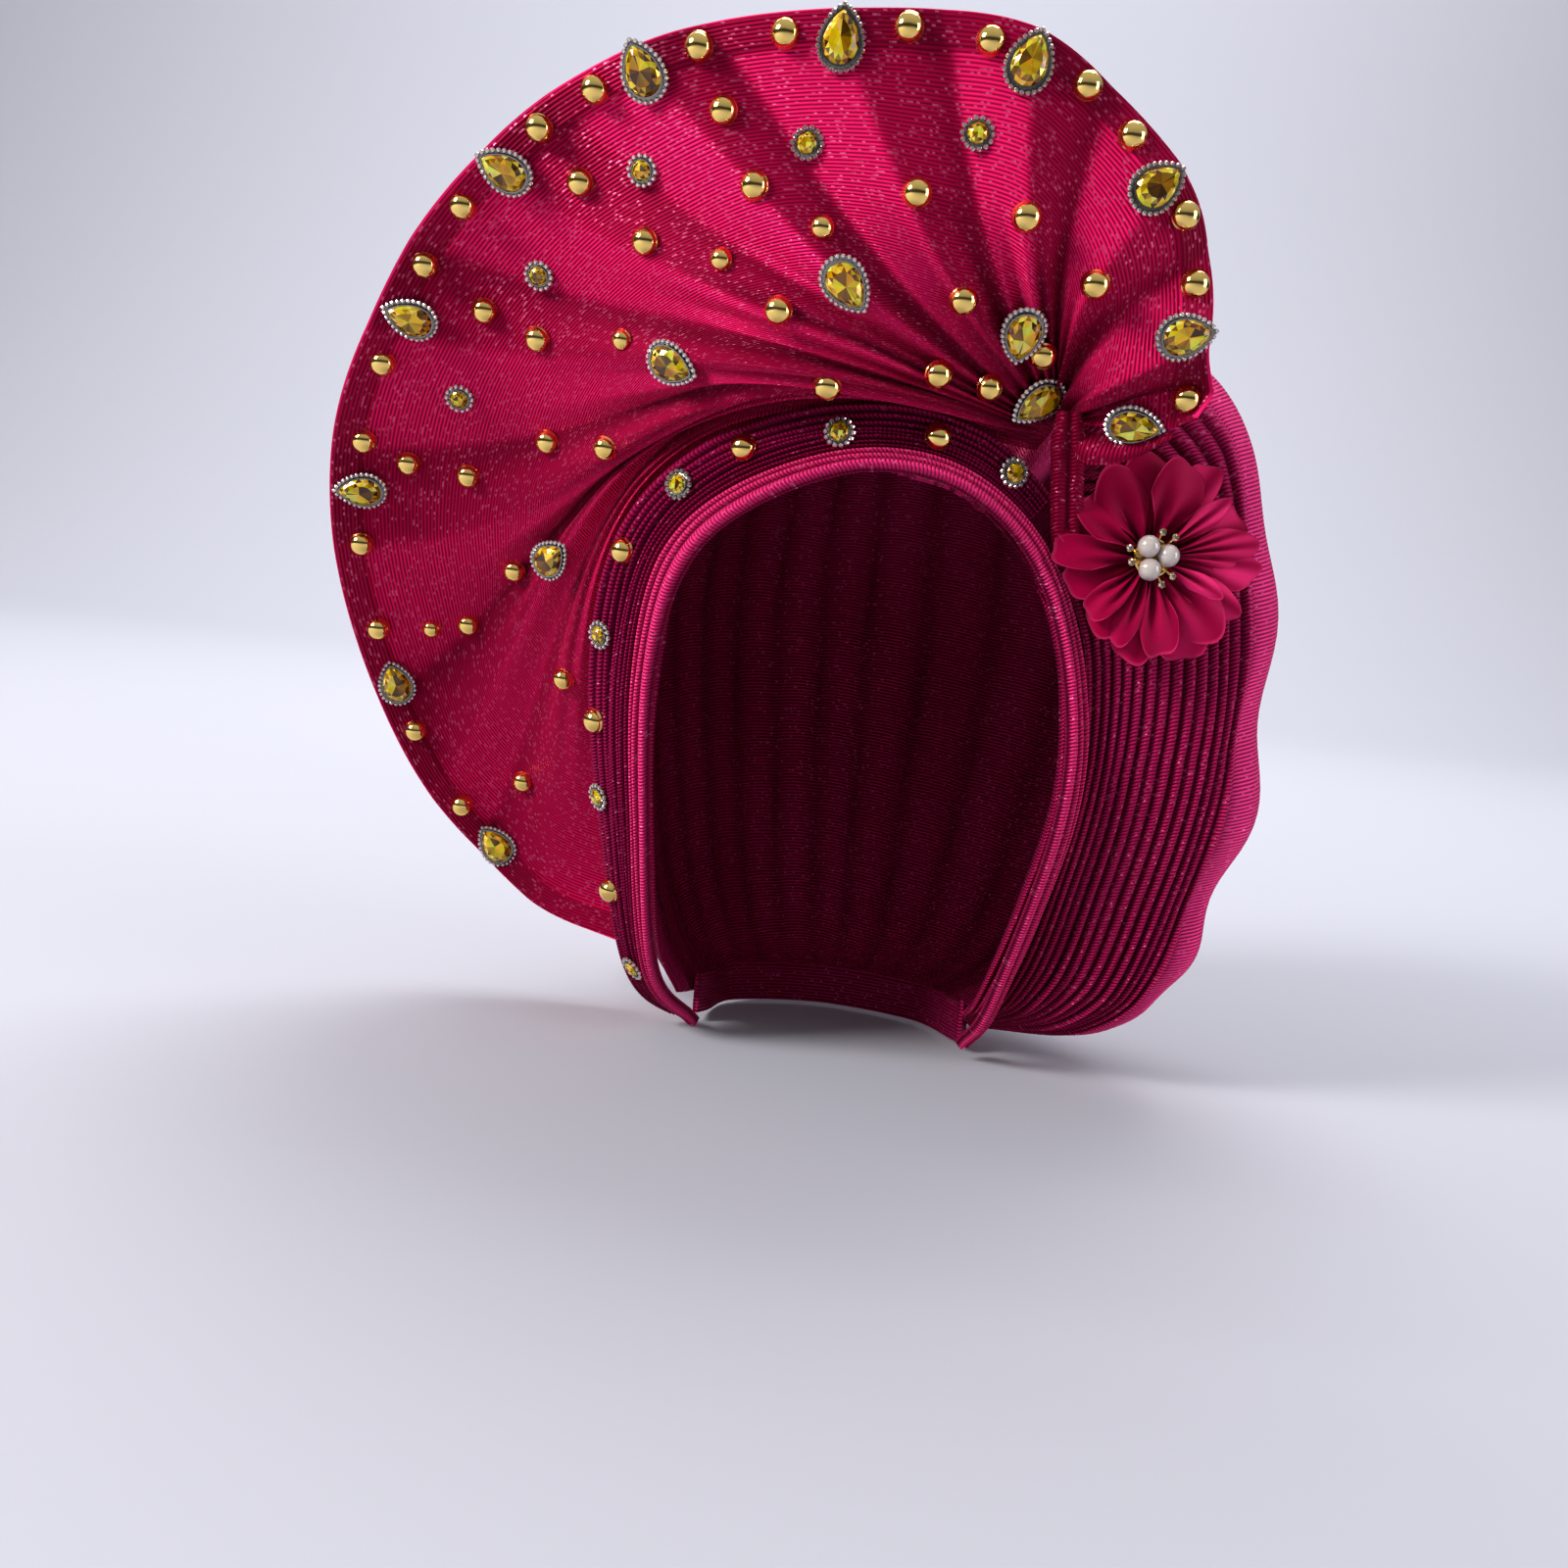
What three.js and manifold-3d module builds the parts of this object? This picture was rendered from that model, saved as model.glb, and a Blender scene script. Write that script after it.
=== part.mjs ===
// A tied gele: a head tie of ribbed cloth, worn, hollow for the head.
// Millimetres, +Z up, the wearer faces -Y, the origin is the crown of the head.
import * as THREE from 'three';
import Module from 'manifold-3d';

const wasm = await Module();
wasm.setup();

// Driving sizes
const CLOTH = 2.4;              // wall of the folded cloth
const HEM_STEP = 1;             // extra thickness of the doubled hem
const CHIFFON = 1;              // wall of a flower petal
const GAP = 0.3;                // clearance between neighbouring pieces
const FACING = new THREE.Vector3(0, -1, 0);   // the way the wearer looks

const cloth = (color, roughness = 0.55) => () =>
  new THREE.MeshStandardMaterial({ color, roughness, metalness: 0.1, side: THREE.FrontSide });
const FAN_CLOTH = cloth(0xc2144f);
const BAND_CLOTH = cloth(0x8f1246);
const BRIM_CLOTH = cloth(0xd93a72);
const CAP_CLOTH = cloth(0xa5164c);
const PETAL_CLOTH = cloth(0xb31147, 0.7);
const GOLD = () => new THREE.MeshStandardMaterial({ color: 0xe0a93a, roughness: 0.2, metalness: 1 });
const AMBER = () => new THREE.MeshStandardMaterial({ color: 0xd99a10, roughness: 0.08, metalness: 0.2 });
const PEARL = () => new THREE.MeshStandardMaterial({ color: 0xf0e6e0, roughness: 0.25, metalness: 0 });

// Curves and surfaces

// A smooth curve through the points, uniform Catmull-Rom with its ends carried on straight
function through(points, u) {
  const last = points.length - 1;
  const span = Math.min(Math.max(Math.floor(u), 0), last - 1);
  const w = u - span;
  const at = (i) => {
    if (i < 0) return points[0].clone().multiplyScalar(2).sub(points[1]);
    if (i > last) return points[last].clone().multiplyScalar(2).sub(points[last - 1]);
    return points[i];
  };
  const [a, b, c, d] = [at(span - 1), at(span), at(span + 1), at(span + 2)];
  const weights = [
    (-w + 2 * w * w - w * w * w) / 2,
    (2 - 5 * w * w + 3 * w * w * w) / 2,
    (w + 4 * w * w - 3 * w * w * w) / 2,
    (w * w * w - w * w) / 2,
  ];
  return new THREE.Vector3()
    .addScaledVector(a, weights[0]).addScaledVector(b, weights[1])
    .addScaledVector(c, weights[2]).addScaledVector(d, weights[3]);
}

const vectors = (rows) => rows.map((row) => new THREE.Vector3(...row));
const lerp = THREE.MathUtils.lerp;

// Piecewise straight value from rows of [place, value]
function ramp(rows, x) {
  const next = rows.findIndex((row) => row[0] >= x);
  if (next === 0) return rows[0][1];
  if (next < 0) return rows[rows.length - 1][1];
  const [x0, y0] = rows[next - 1];
  const [x1, y1] = rows[next];
  return lerp(y0, y1, (x - x0) / (x1 - x0));
}

// Normal of surface(u, v), on the side given by hand (+1 or -1)
function normalAt(surface, u, v, hand) {
  const step = 0.02;
  const alongU = surface(u + step, v).sub(surface(u - step, v));
  const alongV = surface(u, Math.min(v + step, 1)).sub(surface(u, Math.max(v - step, 0)));
  return alongU.cross(alongV).normalize().multiplyScalar(hand);
}

// One closed wall of cloth on the grid us x vs. lift is the height of the folds, thick the wall,
// both measured along the normal.
function clothWall({ us, vs, surface, lift, thick, hand }) {
  const columns = us.length;
  const rows = vs.length;
  const position = [];
  for (const side of [0.5, -0.5]) {
    for (const u of us) {
      for (const v of vs) {
        const n = normalAt(surface, u, v, hand);
        const offset = lift(u, v) + side * thick(u, v) + (side > 0 ? 0 : (thick(u, v) - CLOTH) / 2);
        position.push(...surface(u, v).addScaledVector(n, offset).toArray());
      }
    }
  }
  return gridSolid(position, columns, rows, false);
}

// A closed solid from a front grid and a back grid of points, columns x rows each, joined round the
// edges. closed joins the last column to the first.
function gridSolid(position, columns, rows, closed) {
  const front = (i, j) => (i % columns) * rows + j;
  const back = (i, j) => columns * rows + front(i, j);
  const index = [];
  const quad = (a, b, c, d) => index.push(a, b, c, a, c, d);
  const last = columns - 1;
  const end = rows - 1;
  for (let i = 0; i < (closed ? columns : last); i += 1) {
    for (let j = 0; j < end; j += 1) {
      quad(front(i, j), front(i + 1, j), front(i + 1, j + 1), front(i, j + 1));
      quad(back(i, j), back(i, j + 1), back(i + 1, j + 1), back(i + 1, j));
    }
    quad(front(i, 0), back(i, 0), back(i + 1, 0), front(i + 1, 0));
    quad(front(i, end), front(i + 1, end), back(i + 1, end), back(i, end));
  }
  for (let j = 0; !closed && j < end; j += 1) {
    quad(front(0, j), front(0, j + 1), back(0, j + 1), back(0, j));
    quad(front(last, j), back(last, j), back(last, j + 1), front(last, j + 1));
  }
  return solid(position, index);
}

// Keeps the faces pointing out: the signed volume of a closed mesh says which way they point
function solid(position, index) {
  const geometry = new THREE.BufferGeometry();
  geometry.setAttribute('position', new THREE.Float32BufferAttribute(position, 3));
  const corner = (k) => new THREE.Vector3().fromArray(position, 3 * index[k]);
  let volume = 0;
  for (let t = 0; t < index.length; t += 3) {
    volume += corner(t).dot(corner(t + 1).cross(corner(t + 2)));
  }
  geometry.setIndex(volume > 0 ? index : index.slice().reverse());
  return geometry;
}

// A closed solid through rings of equal length; the ends are closed round their centres
function loft(rings) {
  const position = rings.flat().flatMap((p) => p.toArray());
  const size = rings[0].length;
  const index = [];
  for (let i = 0; i < rings.length - 1; i += 1) {
    for (let j = 0; j < size; j += 1) {
      const next = (j + 1) % size;
      const [a, b] = [i * size + j, i * size + next];
      index.push(a, b, b + size, a, b + size, a + size);
    }
  }
  for (const [ring, first, turn] of [[rings[0], 0, 1], [rings.at(-1), (rings.length - 1) * size, 0]]) {
    const centre = ring.reduce((sum, p) => sum.add(p), new THREE.Vector3()).divideScalar(size);
    const hub = position.length / 3;
    position.push(...centre.toArray());
    for (let j = 0; j < size; j += 1) {
      const next = (j + 1) % size;
      index.push(hub, first + (turn ? next : j), first + (turn ? j : next));
    }
  }
  return solid(position, index);
}

// Joins overlapping closed solids into one
function fuse(geometries) {
  const bodies = geometries.map((geometry) => new wasm.Manifold(new wasm.Mesh({
    numProp: 3,
    vertProperties: new Float32Array(geometry.getAttribute('position').array),
    triVerts: new Uint32Array(geometry.getIndex().array),
  })));
  const mesh = bodies.reduce((sum, body) => sum.add(body)).getMesh();
  return solid(Array.from(mesh.vertProperties), Array.from(mesh.triVerts));
}

// Fan: spokes in the order they turn about the gather, from the wearer's left wing over the top and
// down to the lower edge. near, knee and hem lie 1/4, 1/2 and all of the way out.
const FAN_SPOKES = [
  { near: [57, -77, -17], knee: [67, -82, -18], hem: [85, -92, -13] },
  { near: [56, -84, -11], knee: [66, -92, -5], hem: [86, -96, 2] },
  { near: [48, -90, 5], knee: [55, -102, 20], hem: [74, -103, 45] },
  { near: [37, -94, 13], knee: [31, -106, 36], hem: [29, -108, 82] },
  { near: [18, -95, 12], knee: [1, -105, 35], hem: [-24, -106, 85] },
  { near: [-1, -94, 5], knee: [-31, -100, 25], hem: [-86, -96, 72] },
  { near: [-16, -92, -5], knee: [-61, -84, 6], hem: [-140, -73, 34] },
  { near: [-25, -89, -14], knee: [-71, -68, -17], hem: [-179, -36, -28] },
  { near: [-30, -82, -13], knee: [-79, -50, -34], hem: [-186, 2, -89] },
  { near: [-38, -72, -15], knee: [-90, -34, -46], hem: [-163, 32, -157] },
  { near: [-50, -61, -22], knee: [-93, -21, -70], hem: [-118, 45, -205] },
  { near: [-61, -51, -36], knee: [-89, -8, -94], hem: [-73, 38, -220] },
];
const FAN_ROOT = [new THREE.Vector3(51, -63, -12), new THREE.Vector3(43, -64, -25)];

// Pleats of the fan: where each ridge stands and where the valley before it lies, in spokes
const FAN_PLEATS = [
  { valley: 0.62, ridge: 1.15, depth: 9 },
  { valley: 1.7, ridge: 2.2, depth: 6 },
  { valley: 2.65, ridge: 3.1, depth: 6.5 },
  { valley: 3.6, ridge: 4.15, depth: 6.5 },
  { valley: 4.7, ridge: 5.05, depth: 6.5 },
  { valley: 5.45, ridge: 5.8, depth: 6 },
  { valley: 6.3, ridge: 6.65, depth: 7 },
  { valley: 7.3, ridge: 7.8, depth: 7 },
  { valley: 8.65, ridge: 9.3, depth: 6 },
  { valley: 9.65, ridge: 10, depth: 4 },
];
// How much of a pleat's depth is there, along the way out
const FAN_DEPTH = [[0, 0], [0.12, 0.3], [0.3, 0.75], [0.5, 1], [0.8, 0.85], [1, 0.6]];
const FAN_WAY = [0, 0.1, 0.22, 0.36, 0.52, 0.7, 0.84, 0.925, 0.935, 1];
const HEM_START = 0.93;

const fanRows = {
  near: vectors(FAN_SPOKES.map((row) => row.near)),
  knee: vectors(FAN_SPOKES.map((row) => row.knee)),
  hem: vectors(FAN_SPOKES.map((row) => row.hem)),
};

function fanSurface(u, v) {
  const root = FAN_ROOT[0].clone().lerp(FAN_ROOT[1], u / (FAN_SPOKES.length - 1));
  const [near, knee, hem] = [fanRows.near, fanRows.knee, fanRows.hem].map((row) => through(row, u));
  // A cubic through the root, the near point at 1/4, the knee at 1/2 and the hem
  const weight = (a, [b, c, d]) => ((v - b) * (v - c) * (v - d)) / ((a - b) * (a - c) * (a - d));
  return new THREE.Vector3()
    .addScaledVector(root, weight(0, [0.25, 0.5, 1]))
    .addScaledVector(near, weight(0.25, [0, 0.5, 1]))
    .addScaledVector(knee, weight(0.5, [0, 0.25, 1]))
    .addScaledVector(hem, weight(1, [0, 0.25, 0.5]));
}

const fanFolds = FAN_PLEATS.flatMap(({ valley, ridge, depth }) =>
  [[valley, -depth / 2], [ridge, depth / 2]]);
const fanLift = (u, v) => ramp([[0, 0], ...fanFolds, [11, 0]], u) * ramp(FAN_DEPTH, v);

// Columns: each ridge and valley, and two between
function foldColumns(folds, start, end, between) {
  const marks = [start, ...folds.map((fold) => fold[0]), end];
  const columns = [];
  for (let i = 0; i < marks.length - 1; i += 1) {
    for (let j = 0; j < between; j += 1) {
      columns.push(lerp(marks[i], marks[i + 1], j / between));
    }
  }
  return [...columns, end];
}

const fanPlain = clothWall({
  us: foldColumns(fanFolds, 0, FAN_SPOKES.length - 1, 2),
  vs: FAN_WAY,
  surface: fanSurface,
  lift: fanLift,
  thick: (u, v) => CLOTH + (v > HEM_START ? HEM_STEP : 0),
  hand: -1,
});

// Face edge: the middle line of the brim, from the wearer's right jaw over the brow to the left jaw.
// brim and band are the widths of the two strips; the leans tip them back from the wearer's facing.
const FACE_EDGE = [
  { at: [-47, 17, -238], brim: 4, lean: 40, band: 5, bandLean: 50 },
  { at: [-62, -12, -213], brim: 5.5, lean: 40, band: 13, bandLean: 50 },
  { at: [-69, -35, -155], brim: 6.5, lean: 35, band: 20, bandLean: 48 },
  { at: [-71, -47, -108], brim: 8, lean: 35, band: 21, bandLean: 40 },
  { at: [-64, -60, -71], brim: 10, lean: 32, band: 18, bandLean: 26 },
  { at: [-44, -70, -49], brim: 9, lean: 32, band: 17, bandLean: 18 },
  { at: [-10, -78, -35], brim: 6.5, lean: 32, band: 14, bandLean: 14 },
  { at: [22, -75, -38], brim: 6.5, lean: 32, band: 13, bandLean: 12 },
  { at: [49, -63, -59], brim: 7, lean: 32, band: 9, bandLean: 10 },
  { at: [65, -53, -96], brim: 7, lean: 32, band: 6, bandLean: 10 },
  { at: [69, -43, -142], brim: 7.5, lean: 35, band: 6, bandLean: 10 },
  { at: [58, -9, -213], brim: 5.5, lean: 40, band: 6, bandLean: 10 },
  { at: [51, 9, -234], brim: 4, lean: 40, band: 6, bandLean: 10 },
];
const BAND_END = 7.65;          // the band runs into the gather here, in rows of the face edge
const BRIM_LOBES = 4;
const BAND_LOBES = 7;
const edgeLine = vectors(FACE_EDGE.map((row) => row.at));
const edgeValue = (name, u) => ramp(FACE_EDGE.map((row, i) => [i, row[name]]), u);

// Outward and facing directions of a strip that leans back by the named angle
function edgeFrame(u, leanName) {
  const step = 0.05;
  const along = through(edgeLine, u + step).sub(through(edgeLine, u - step)).normalize();
  const out = FACING.clone().cross(along).normalize();
  const face = along.clone().cross(out).normalize();
  const lean = THREE.MathUtils.degToRad(edgeValue(leanName, u));
  return {
    out: out.clone().multiplyScalar(Math.cos(lean)).addScaledVector(face, -Math.sin(lean)),
    face: face.clone().multiplyScalar(Math.cos(lean)).addScaledVector(out, Math.sin(lean)),
  };
}

// A strip with a flat back and rounded pleats on its face, as rings for loft
function pleatedStrip({ stations, start, width, frame, lobes, base, depth }) {
  const steps = 3;
  return stations.map((u) => {
    const { out, face } = frame(u);
    const ring = [];
    for (let i = 0; i <= lobes * steps; i += 1) {
      const x = i / (lobes * steps);
      const height = base + depth * Math.abs(Math.sin(Math.PI * lobes * x));
      ring.push(start(u).addScaledVector(out, width(u) * x).addScaledVector(face, height));
    }
    ring.push(start(u).addScaledVector(out, width(u)), start(u));
    return ring;
  });
}

const stationsOf = (start, end, count) =>
  Array.from({ length: count + 1 }, (_, i) => lerp(start, end, i / count));

const brimRings = pleatedStrip({
  stations: stationsOf(0, FACE_EDGE.length - 1, 24),
  start: (u) => through(edgeLine, u)
    .addScaledVector(edgeFrame(u, 'lean').out, -edgeValue('brim', u) / 2),
  width: (u) => edgeValue('brim', u),
  frame: (u) => edgeFrame(u, 'lean'),
  lobes: BRIM_LOBES,
  base: 2.6,
  depth: 1.2,
});

const BAND_BASE = 2.4;
const BAND_LOBE = 1.3;
const BAND_RISE = BAND_BASE + BAND_LOBE;
const bandStart = (u) => {
  const { out, face } = edgeFrame(u, 'lean');
  const turned = THREE.MathUtils.degToRad(edgeValue('lean', u) - edgeValue('bandLean', u));
  const clear = 0.7 + BAND_RISE * Math.max(0, Math.sin(turned));
  return through(edgeLine, u)
    .addScaledVector(out, edgeValue('brim', u) / 2 + clear)
    .addScaledVector(face, -1);
};
const bandFrame = (u) => edgeFrame(u, 'bandLean');
const band = loft(pleatedStrip({
  stations: stationsOf(0.15, BAND_END, 16),
  start: bandStart,
  width: (u) => edgeValue('band', u),
  frame: bandFrame,
  lobes: BAND_LOBES,
  base: BAND_BASE,
  depth: BAND_LOBE,
}));

// Cap: meridians from the face edge over the head to the nape line, in the order they turn from the
// face's left side, round the back, to its right side. edge is where each starts, as a place on the
// face edge. The first and last lie behind the brim all the way.
const CAP_SIDES = {
  left: [8.25, 8.6, 9.1, 9.9, 10.5, 11.1, 11.7],
  right: [4.3, 3.9, 3.4, 2.6, 1.8, 1.15, 0.45],
};
const CAP_MERIDIANS = [
  { edge: 8.05, crest: [60, -60, -47], shoulder: [78, -52, -78], waist: [85, -43, -125],
    lower: [80, -22, -180], under: [70, -8, -212], nape: [54, 14, -228] },
  { edge: 7.8, crest: [66, -58, -20], shoulder: [99, -50, -50], waist: [115, -43, -114],
    lower: [107, -21, -187], under: [89, -6, -218], nape: [55, 17, -230] },
  { edge: 7.55, crest: [76, -48, 7], shoulder: [115, -39, -16], waist: [134, -32, -108],
    lower: [125, -14, -187], under: [101, -2, -221], nape: [56, 20, -231] },
  { edge: 7.3, crest: [66, -20, 13], shoulder: [108, 2, -12], waist: [131, 10, -105],
    lower: [115, 24, -188], under: [92, 32, -221], nape: [53, 32, -232] },
  { edge: 6.9, crest: [46, -8, 13], shoulder: [84, 46, -12], waist: [106, 68, -92],
    lower: [86, 72, -180], under: [66, 68, -216], nape: [38, 54, -232] },
  { edge: 6, crest: [2, -28, 1], shoulder: [2, 62, 0], waist: [0, 114, -80],
    lower: [0, 102, -170], under: [0, 86, -212], nape: [0, 66, -232] },
  { edge: 5.2, crest: [-31, -18, -1], shoulder: [-54, 46, -16], waist: [-72, 84, -86],
    lower: [-62, 80, -172], under: [-50, 70, -212], nape: [-36, 56, -232] },
  { edge: 4.7, crest: [-52, -30, -25], shoulder: [-76, 0, -52], waist: [-83, 26, -106],
    lower: [-73, 32, -174], under: [-62, 32, -212], nape: [-47, 35, -232] },
];
const PANEL_END = 3;            // the narrow pleats fill the first spans, the broad folds the rest
const PANEL_PLEATS = 14;
const BACK_FOLDS = 8;
const PANEL_DEPTH = 2.4;
const BACK_DEPTH = 3.4;
// How much of a fold's depth is there, from brow to nape
const CAP_DEPTH = [[0, 0.1], [0.2, 0.8], [0.5, 1], [0.8, 0.8], [1, 0.1]];
const CAP_WAY = [0, 0.07, 0.15, 0.23, 0.33, 0.44, 0.55, 0.66, 0.77, 0.89, 1];
// How far behind the brim the cap's edge lies, along the face edge
const BRIM_SEAT = [[6, 1.6], [7, 5]];

const behindBrim = (u) => through(edgeLine, u)
  .addScaledVector(edgeFrame(u, 'lean').face, -CLOTH / 2 - ramp(BRIM_SEAT, u));
const capLines = [
  CAP_SIDES.left.map(behindBrim),
  ...CAP_MERIDIANS.map(({ edge, ...points }) => [behindBrim(edge), ...vectors(Object.values(points))]),
  CAP_SIDES.right.map(behindBrim),
];
const CAP_SPANS = capLines.length - 1;
const capSurface = (u, v) => {
  const meridian = capLines[0].map((_, i) => through(capLines.map((line) => line[i]), u));
  return through(meridian, v * (meridian.length - 1));
};

const capFolds = [];
for (let i = 1; i < 2 * PANEL_PLEATS; i += 1) {
  capFolds.push([(PANEL_END * i) / (2 * PANEL_PLEATS), (i % 2 ? 0.5 : -0.5) * PANEL_DEPTH]);
}
for (let i = 0; i < 2 * BACK_FOLDS; i += 1) {
  const place = lerp(PANEL_END, CAP_SPANS, i / (2 * BACK_FOLDS));
  capFolds.push([place, (i % 2 ? 0.5 : -0.5) * BACK_DEPTH]);
}
const capLift = (u, v) => ramp([[0, 0], ...capFolds, [CAP_SPANS, 0]], u) * ramp(CAP_DEPTH, v);

// The cap is laid in two pieces, the panel beside the face and the back, with a seam between them
const CAP_SEAM = 0.03;          // in spans
const capColumns = foldColumns(capFolds, 0, CAP_SPANS, 1);
const capWall = (us) => clothWall({
  us,
  vs: CAP_WAY,
  surface: capSurface,
  lift: capLift,
  thick: () => CLOTH,
  hand: -1,
});
const capPanel = capWall([...capColumns.filter((u) => u < PANEL_END), PANEL_END - CAP_SEAM / 2]);
const capBack = capWall([PANEL_END + CAP_SEAM / 2, ...capColumns.filter((u) => u > PANEL_END)]);

// Nape band: a plain strip just inside the cap's nape edge
const NAPE_RISE = 7;
const NAPE_DROP = 8;
const NAPE_DEPTH = 2.6;
const NAPE_SEAT = 0.7;
const NAPE_ENDS = [0.8, 8.45];
const napeBand = loft(stationsOf(...NAPE_ENDS, 20).map((u) => {
  const step = 0.1;
  const along = capSurface(u + step, 1).sub(capSurface(u - step, 1));
  const out = new THREE.Vector3(along.y, -along.x, 0).normalize();
  const corner = (depth, height) => capSurface(u, 1)
    .addScaledVector(out, -CLOTH / 2 - NAPE_SEAT - depth).add(new THREE.Vector3(0, 0, height));
  return [
    corner(0, -NAPE_DROP), corner(0, NAPE_RISE),
    corner(NAPE_DEPTH, NAPE_RISE), corner(NAPE_DEPTH, -NAPE_DROP),
  ];
}));

// Ornaments

// How far out from centre, along normal, an ornament's base must go to clear the solid under it
function seatHeight(geometry, frame, halfLength, halfWidth) {
  const position = geometry.getAttribute('position');
  const index = geometry.getIndex().array;
  const [a, b, c] = [new THREE.Vector3(), new THREE.Vector3(), new THREE.Vector3()];
  const steps = 16;
  const nearest = 20;
  let top = -Infinity;
  for (let t = 0; t < index.length; t += 3) {
    [a, b, c].forEach((p, k) => p.fromBufferAttribute(position, index[t + k]).sub(frame.centre));
    if (Math.min(a.length(), b.length(), c.length()) > 3 * nearest) continue;
    for (let i = 0; i <= steps; i += 1) {
      for (let j = 0; j <= steps - i; j += 1) {
        const p = a.clone().multiplyScalar(i / steps).addScaledVector(b, j / steps)
          .addScaledVector(c, (steps - i - j) / steps);
        const height = p.dot(frame.normal);
        const x = p.dot(frame.along) / halfLength;
        const y = p.dot(frame.across) / halfWidth;
        if (x * x + y * y < 1.3 && Math.abs(height) < nearest) top = Math.max(top, height);
      }
    }
  }
  return top;
}

// The place of an ornament on a surface: its normal, and along turned by the angle in degrees,
// seen from the front, from the wearer's left (+X) towards the top
function placeOn(centre, normal, angle = 0) {
  const turn = THREE.MathUtils.degToRad(angle);
  const aim = new THREE.Vector3(Math.cos(turn), 0, Math.sin(turn));
  const along = aim.addScaledVector(normal, -aim.dot(normal)).normalize();
  const across = normal.clone().cross(along);
  return { centre, normal, along, across };
}

// Rings of a stone or dome: each has a scale of the outline and a height
function ringed(outline, rings, frame, rise) {
  return loft(rings.map(([scale, height]) => outline.map(([x, y]) => frame.centre.clone()
    .addScaledVector(frame.along, x * scale)
    .addScaledVector(frame.across, y * scale)
    .addScaledVector(frame.normal, height + rise))));
}

const circle = (radius, sides) => Array.from({ length: sides }, (_, i) => {
  const turn = (2 * Math.PI * i) / sides;
  return [radius * Math.cos(turn), radius * Math.sin(turn)];
});
// A drop: pointed at +x, round at -x
const drop = (length, width, sides) => Array.from({ length: sides }, (_, i) => {
  const turn = (2 * Math.PI * i) / sides;
  const widest = 0.77;
  return [(length / 2) * Math.cos(turn), ((width / 2) * Math.sin(turn) * Math.sin(turn / 2)) / widest];
});

const DROP_LENGTH = 18;
const DROP_WIDTH = 13.5;
const ROUND_STONE = 10.5;
const STUD = 8.6;
const SMALL_STUD = 7;
const SIDES = 9;
// Scale of the outline and height: the setting's foot, the girdle, the table
const STONE_RINGS = [[1, 0], [0.88, 2.1], [0.42, 4.2]];
const ROUND_RINGS = [[1, 0], [0.8, 1.6], [0.36, 3]];
const domeRings = (radius) => [[1, 0], [0.92, radius * 0.4], [0.5, radius * 0.84]];
const sunkRings = (radius, sink) => [[1, -sink], [0.72, radius * 0.7]];

// On the fan, spoke and out say where an ornament sits: which spoke, and the share of the way out.
// tip is the way a drop points, in degrees from the wearer's left towards the top.
const TEARDROPS = [
  { spoke: 5.05, out: 0.96, tip: 115 },
  { spoke: 4.15, out: 0.94, tip: 88 },
  { spoke: 3.13, out: 0.91, tip: 75 },
  { spoke: 2.25, out: 0.85, tip: 40 },
  { spoke: 1.29, out: 0.77, tip: 15 },
  { spoke: 0.15, out: 0.54, tip: 0 },
  { spoke: 4.6, out: 0.07, tip: -135 },
  { spoke: 3.53, out: 0.19, tip: -90 },
  { spoke: 5.12, out: 0.37, tip: -50 },
  { spoke: 6.7, out: 0.49, tip: -10 },
  { spoke: 9.1, out: 0.62, tip: 45 },
  { spoke: 5.8, out: 0.96, tip: 150 },
  { spoke: 6.58, out: 0.96, tip: 155 },
  { spoke: 7.5, out: 0.97, tip: 180 },
  { spoke: 8.6, out: 0.97, tip: 110 },
  { spoke: 9.68, out: 0.97, tip: 130 },
];
const FAN_ROUND_STONES = [
  { spoke: 5.42, out: 0.81 },
  { spoke: 4.61, out: 0.72 },
  { spoke: 3.49, out: 0.7 },
  { spoke: 6.22, out: 0.81 },
  { spoke: 6.97, out: 0.87 },
];
const RIM_STUDS = [
  { spoke: 4.78, out: 0.965 },
  { spoke: 4.39, out: 0.96 },
  { spoke: 3.8, out: 0.96 },
  { spoke: 3.36, out: 0.94 },
  { spoke: 2.78, out: 0.94 },
  { spoke: 2.48, out: 0.92 },
  { spoke: 2.01, out: 0.89 },
  { spoke: 1.59, out: 0.86 },
  { spoke: 0.5, out: 0.84 },
  { spoke: 5.27, out: 0.97 },
  { spoke: 5.57, out: 0.97 },
  { spoke: 6.05, out: 0.97 },
  { spoke: 6.36, out: 0.97 },
  { spoke: 6.81, out: 0.97 },
  { spoke: 7.24, out: 0.97 },
  { spoke: 7.79, out: 0.97 },
  { spoke: 8.29, out: 0.97 },
  { spoke: 8.88, out: 0.97 },
  { spoke: 9.38, out: 0.97 },
];
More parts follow.
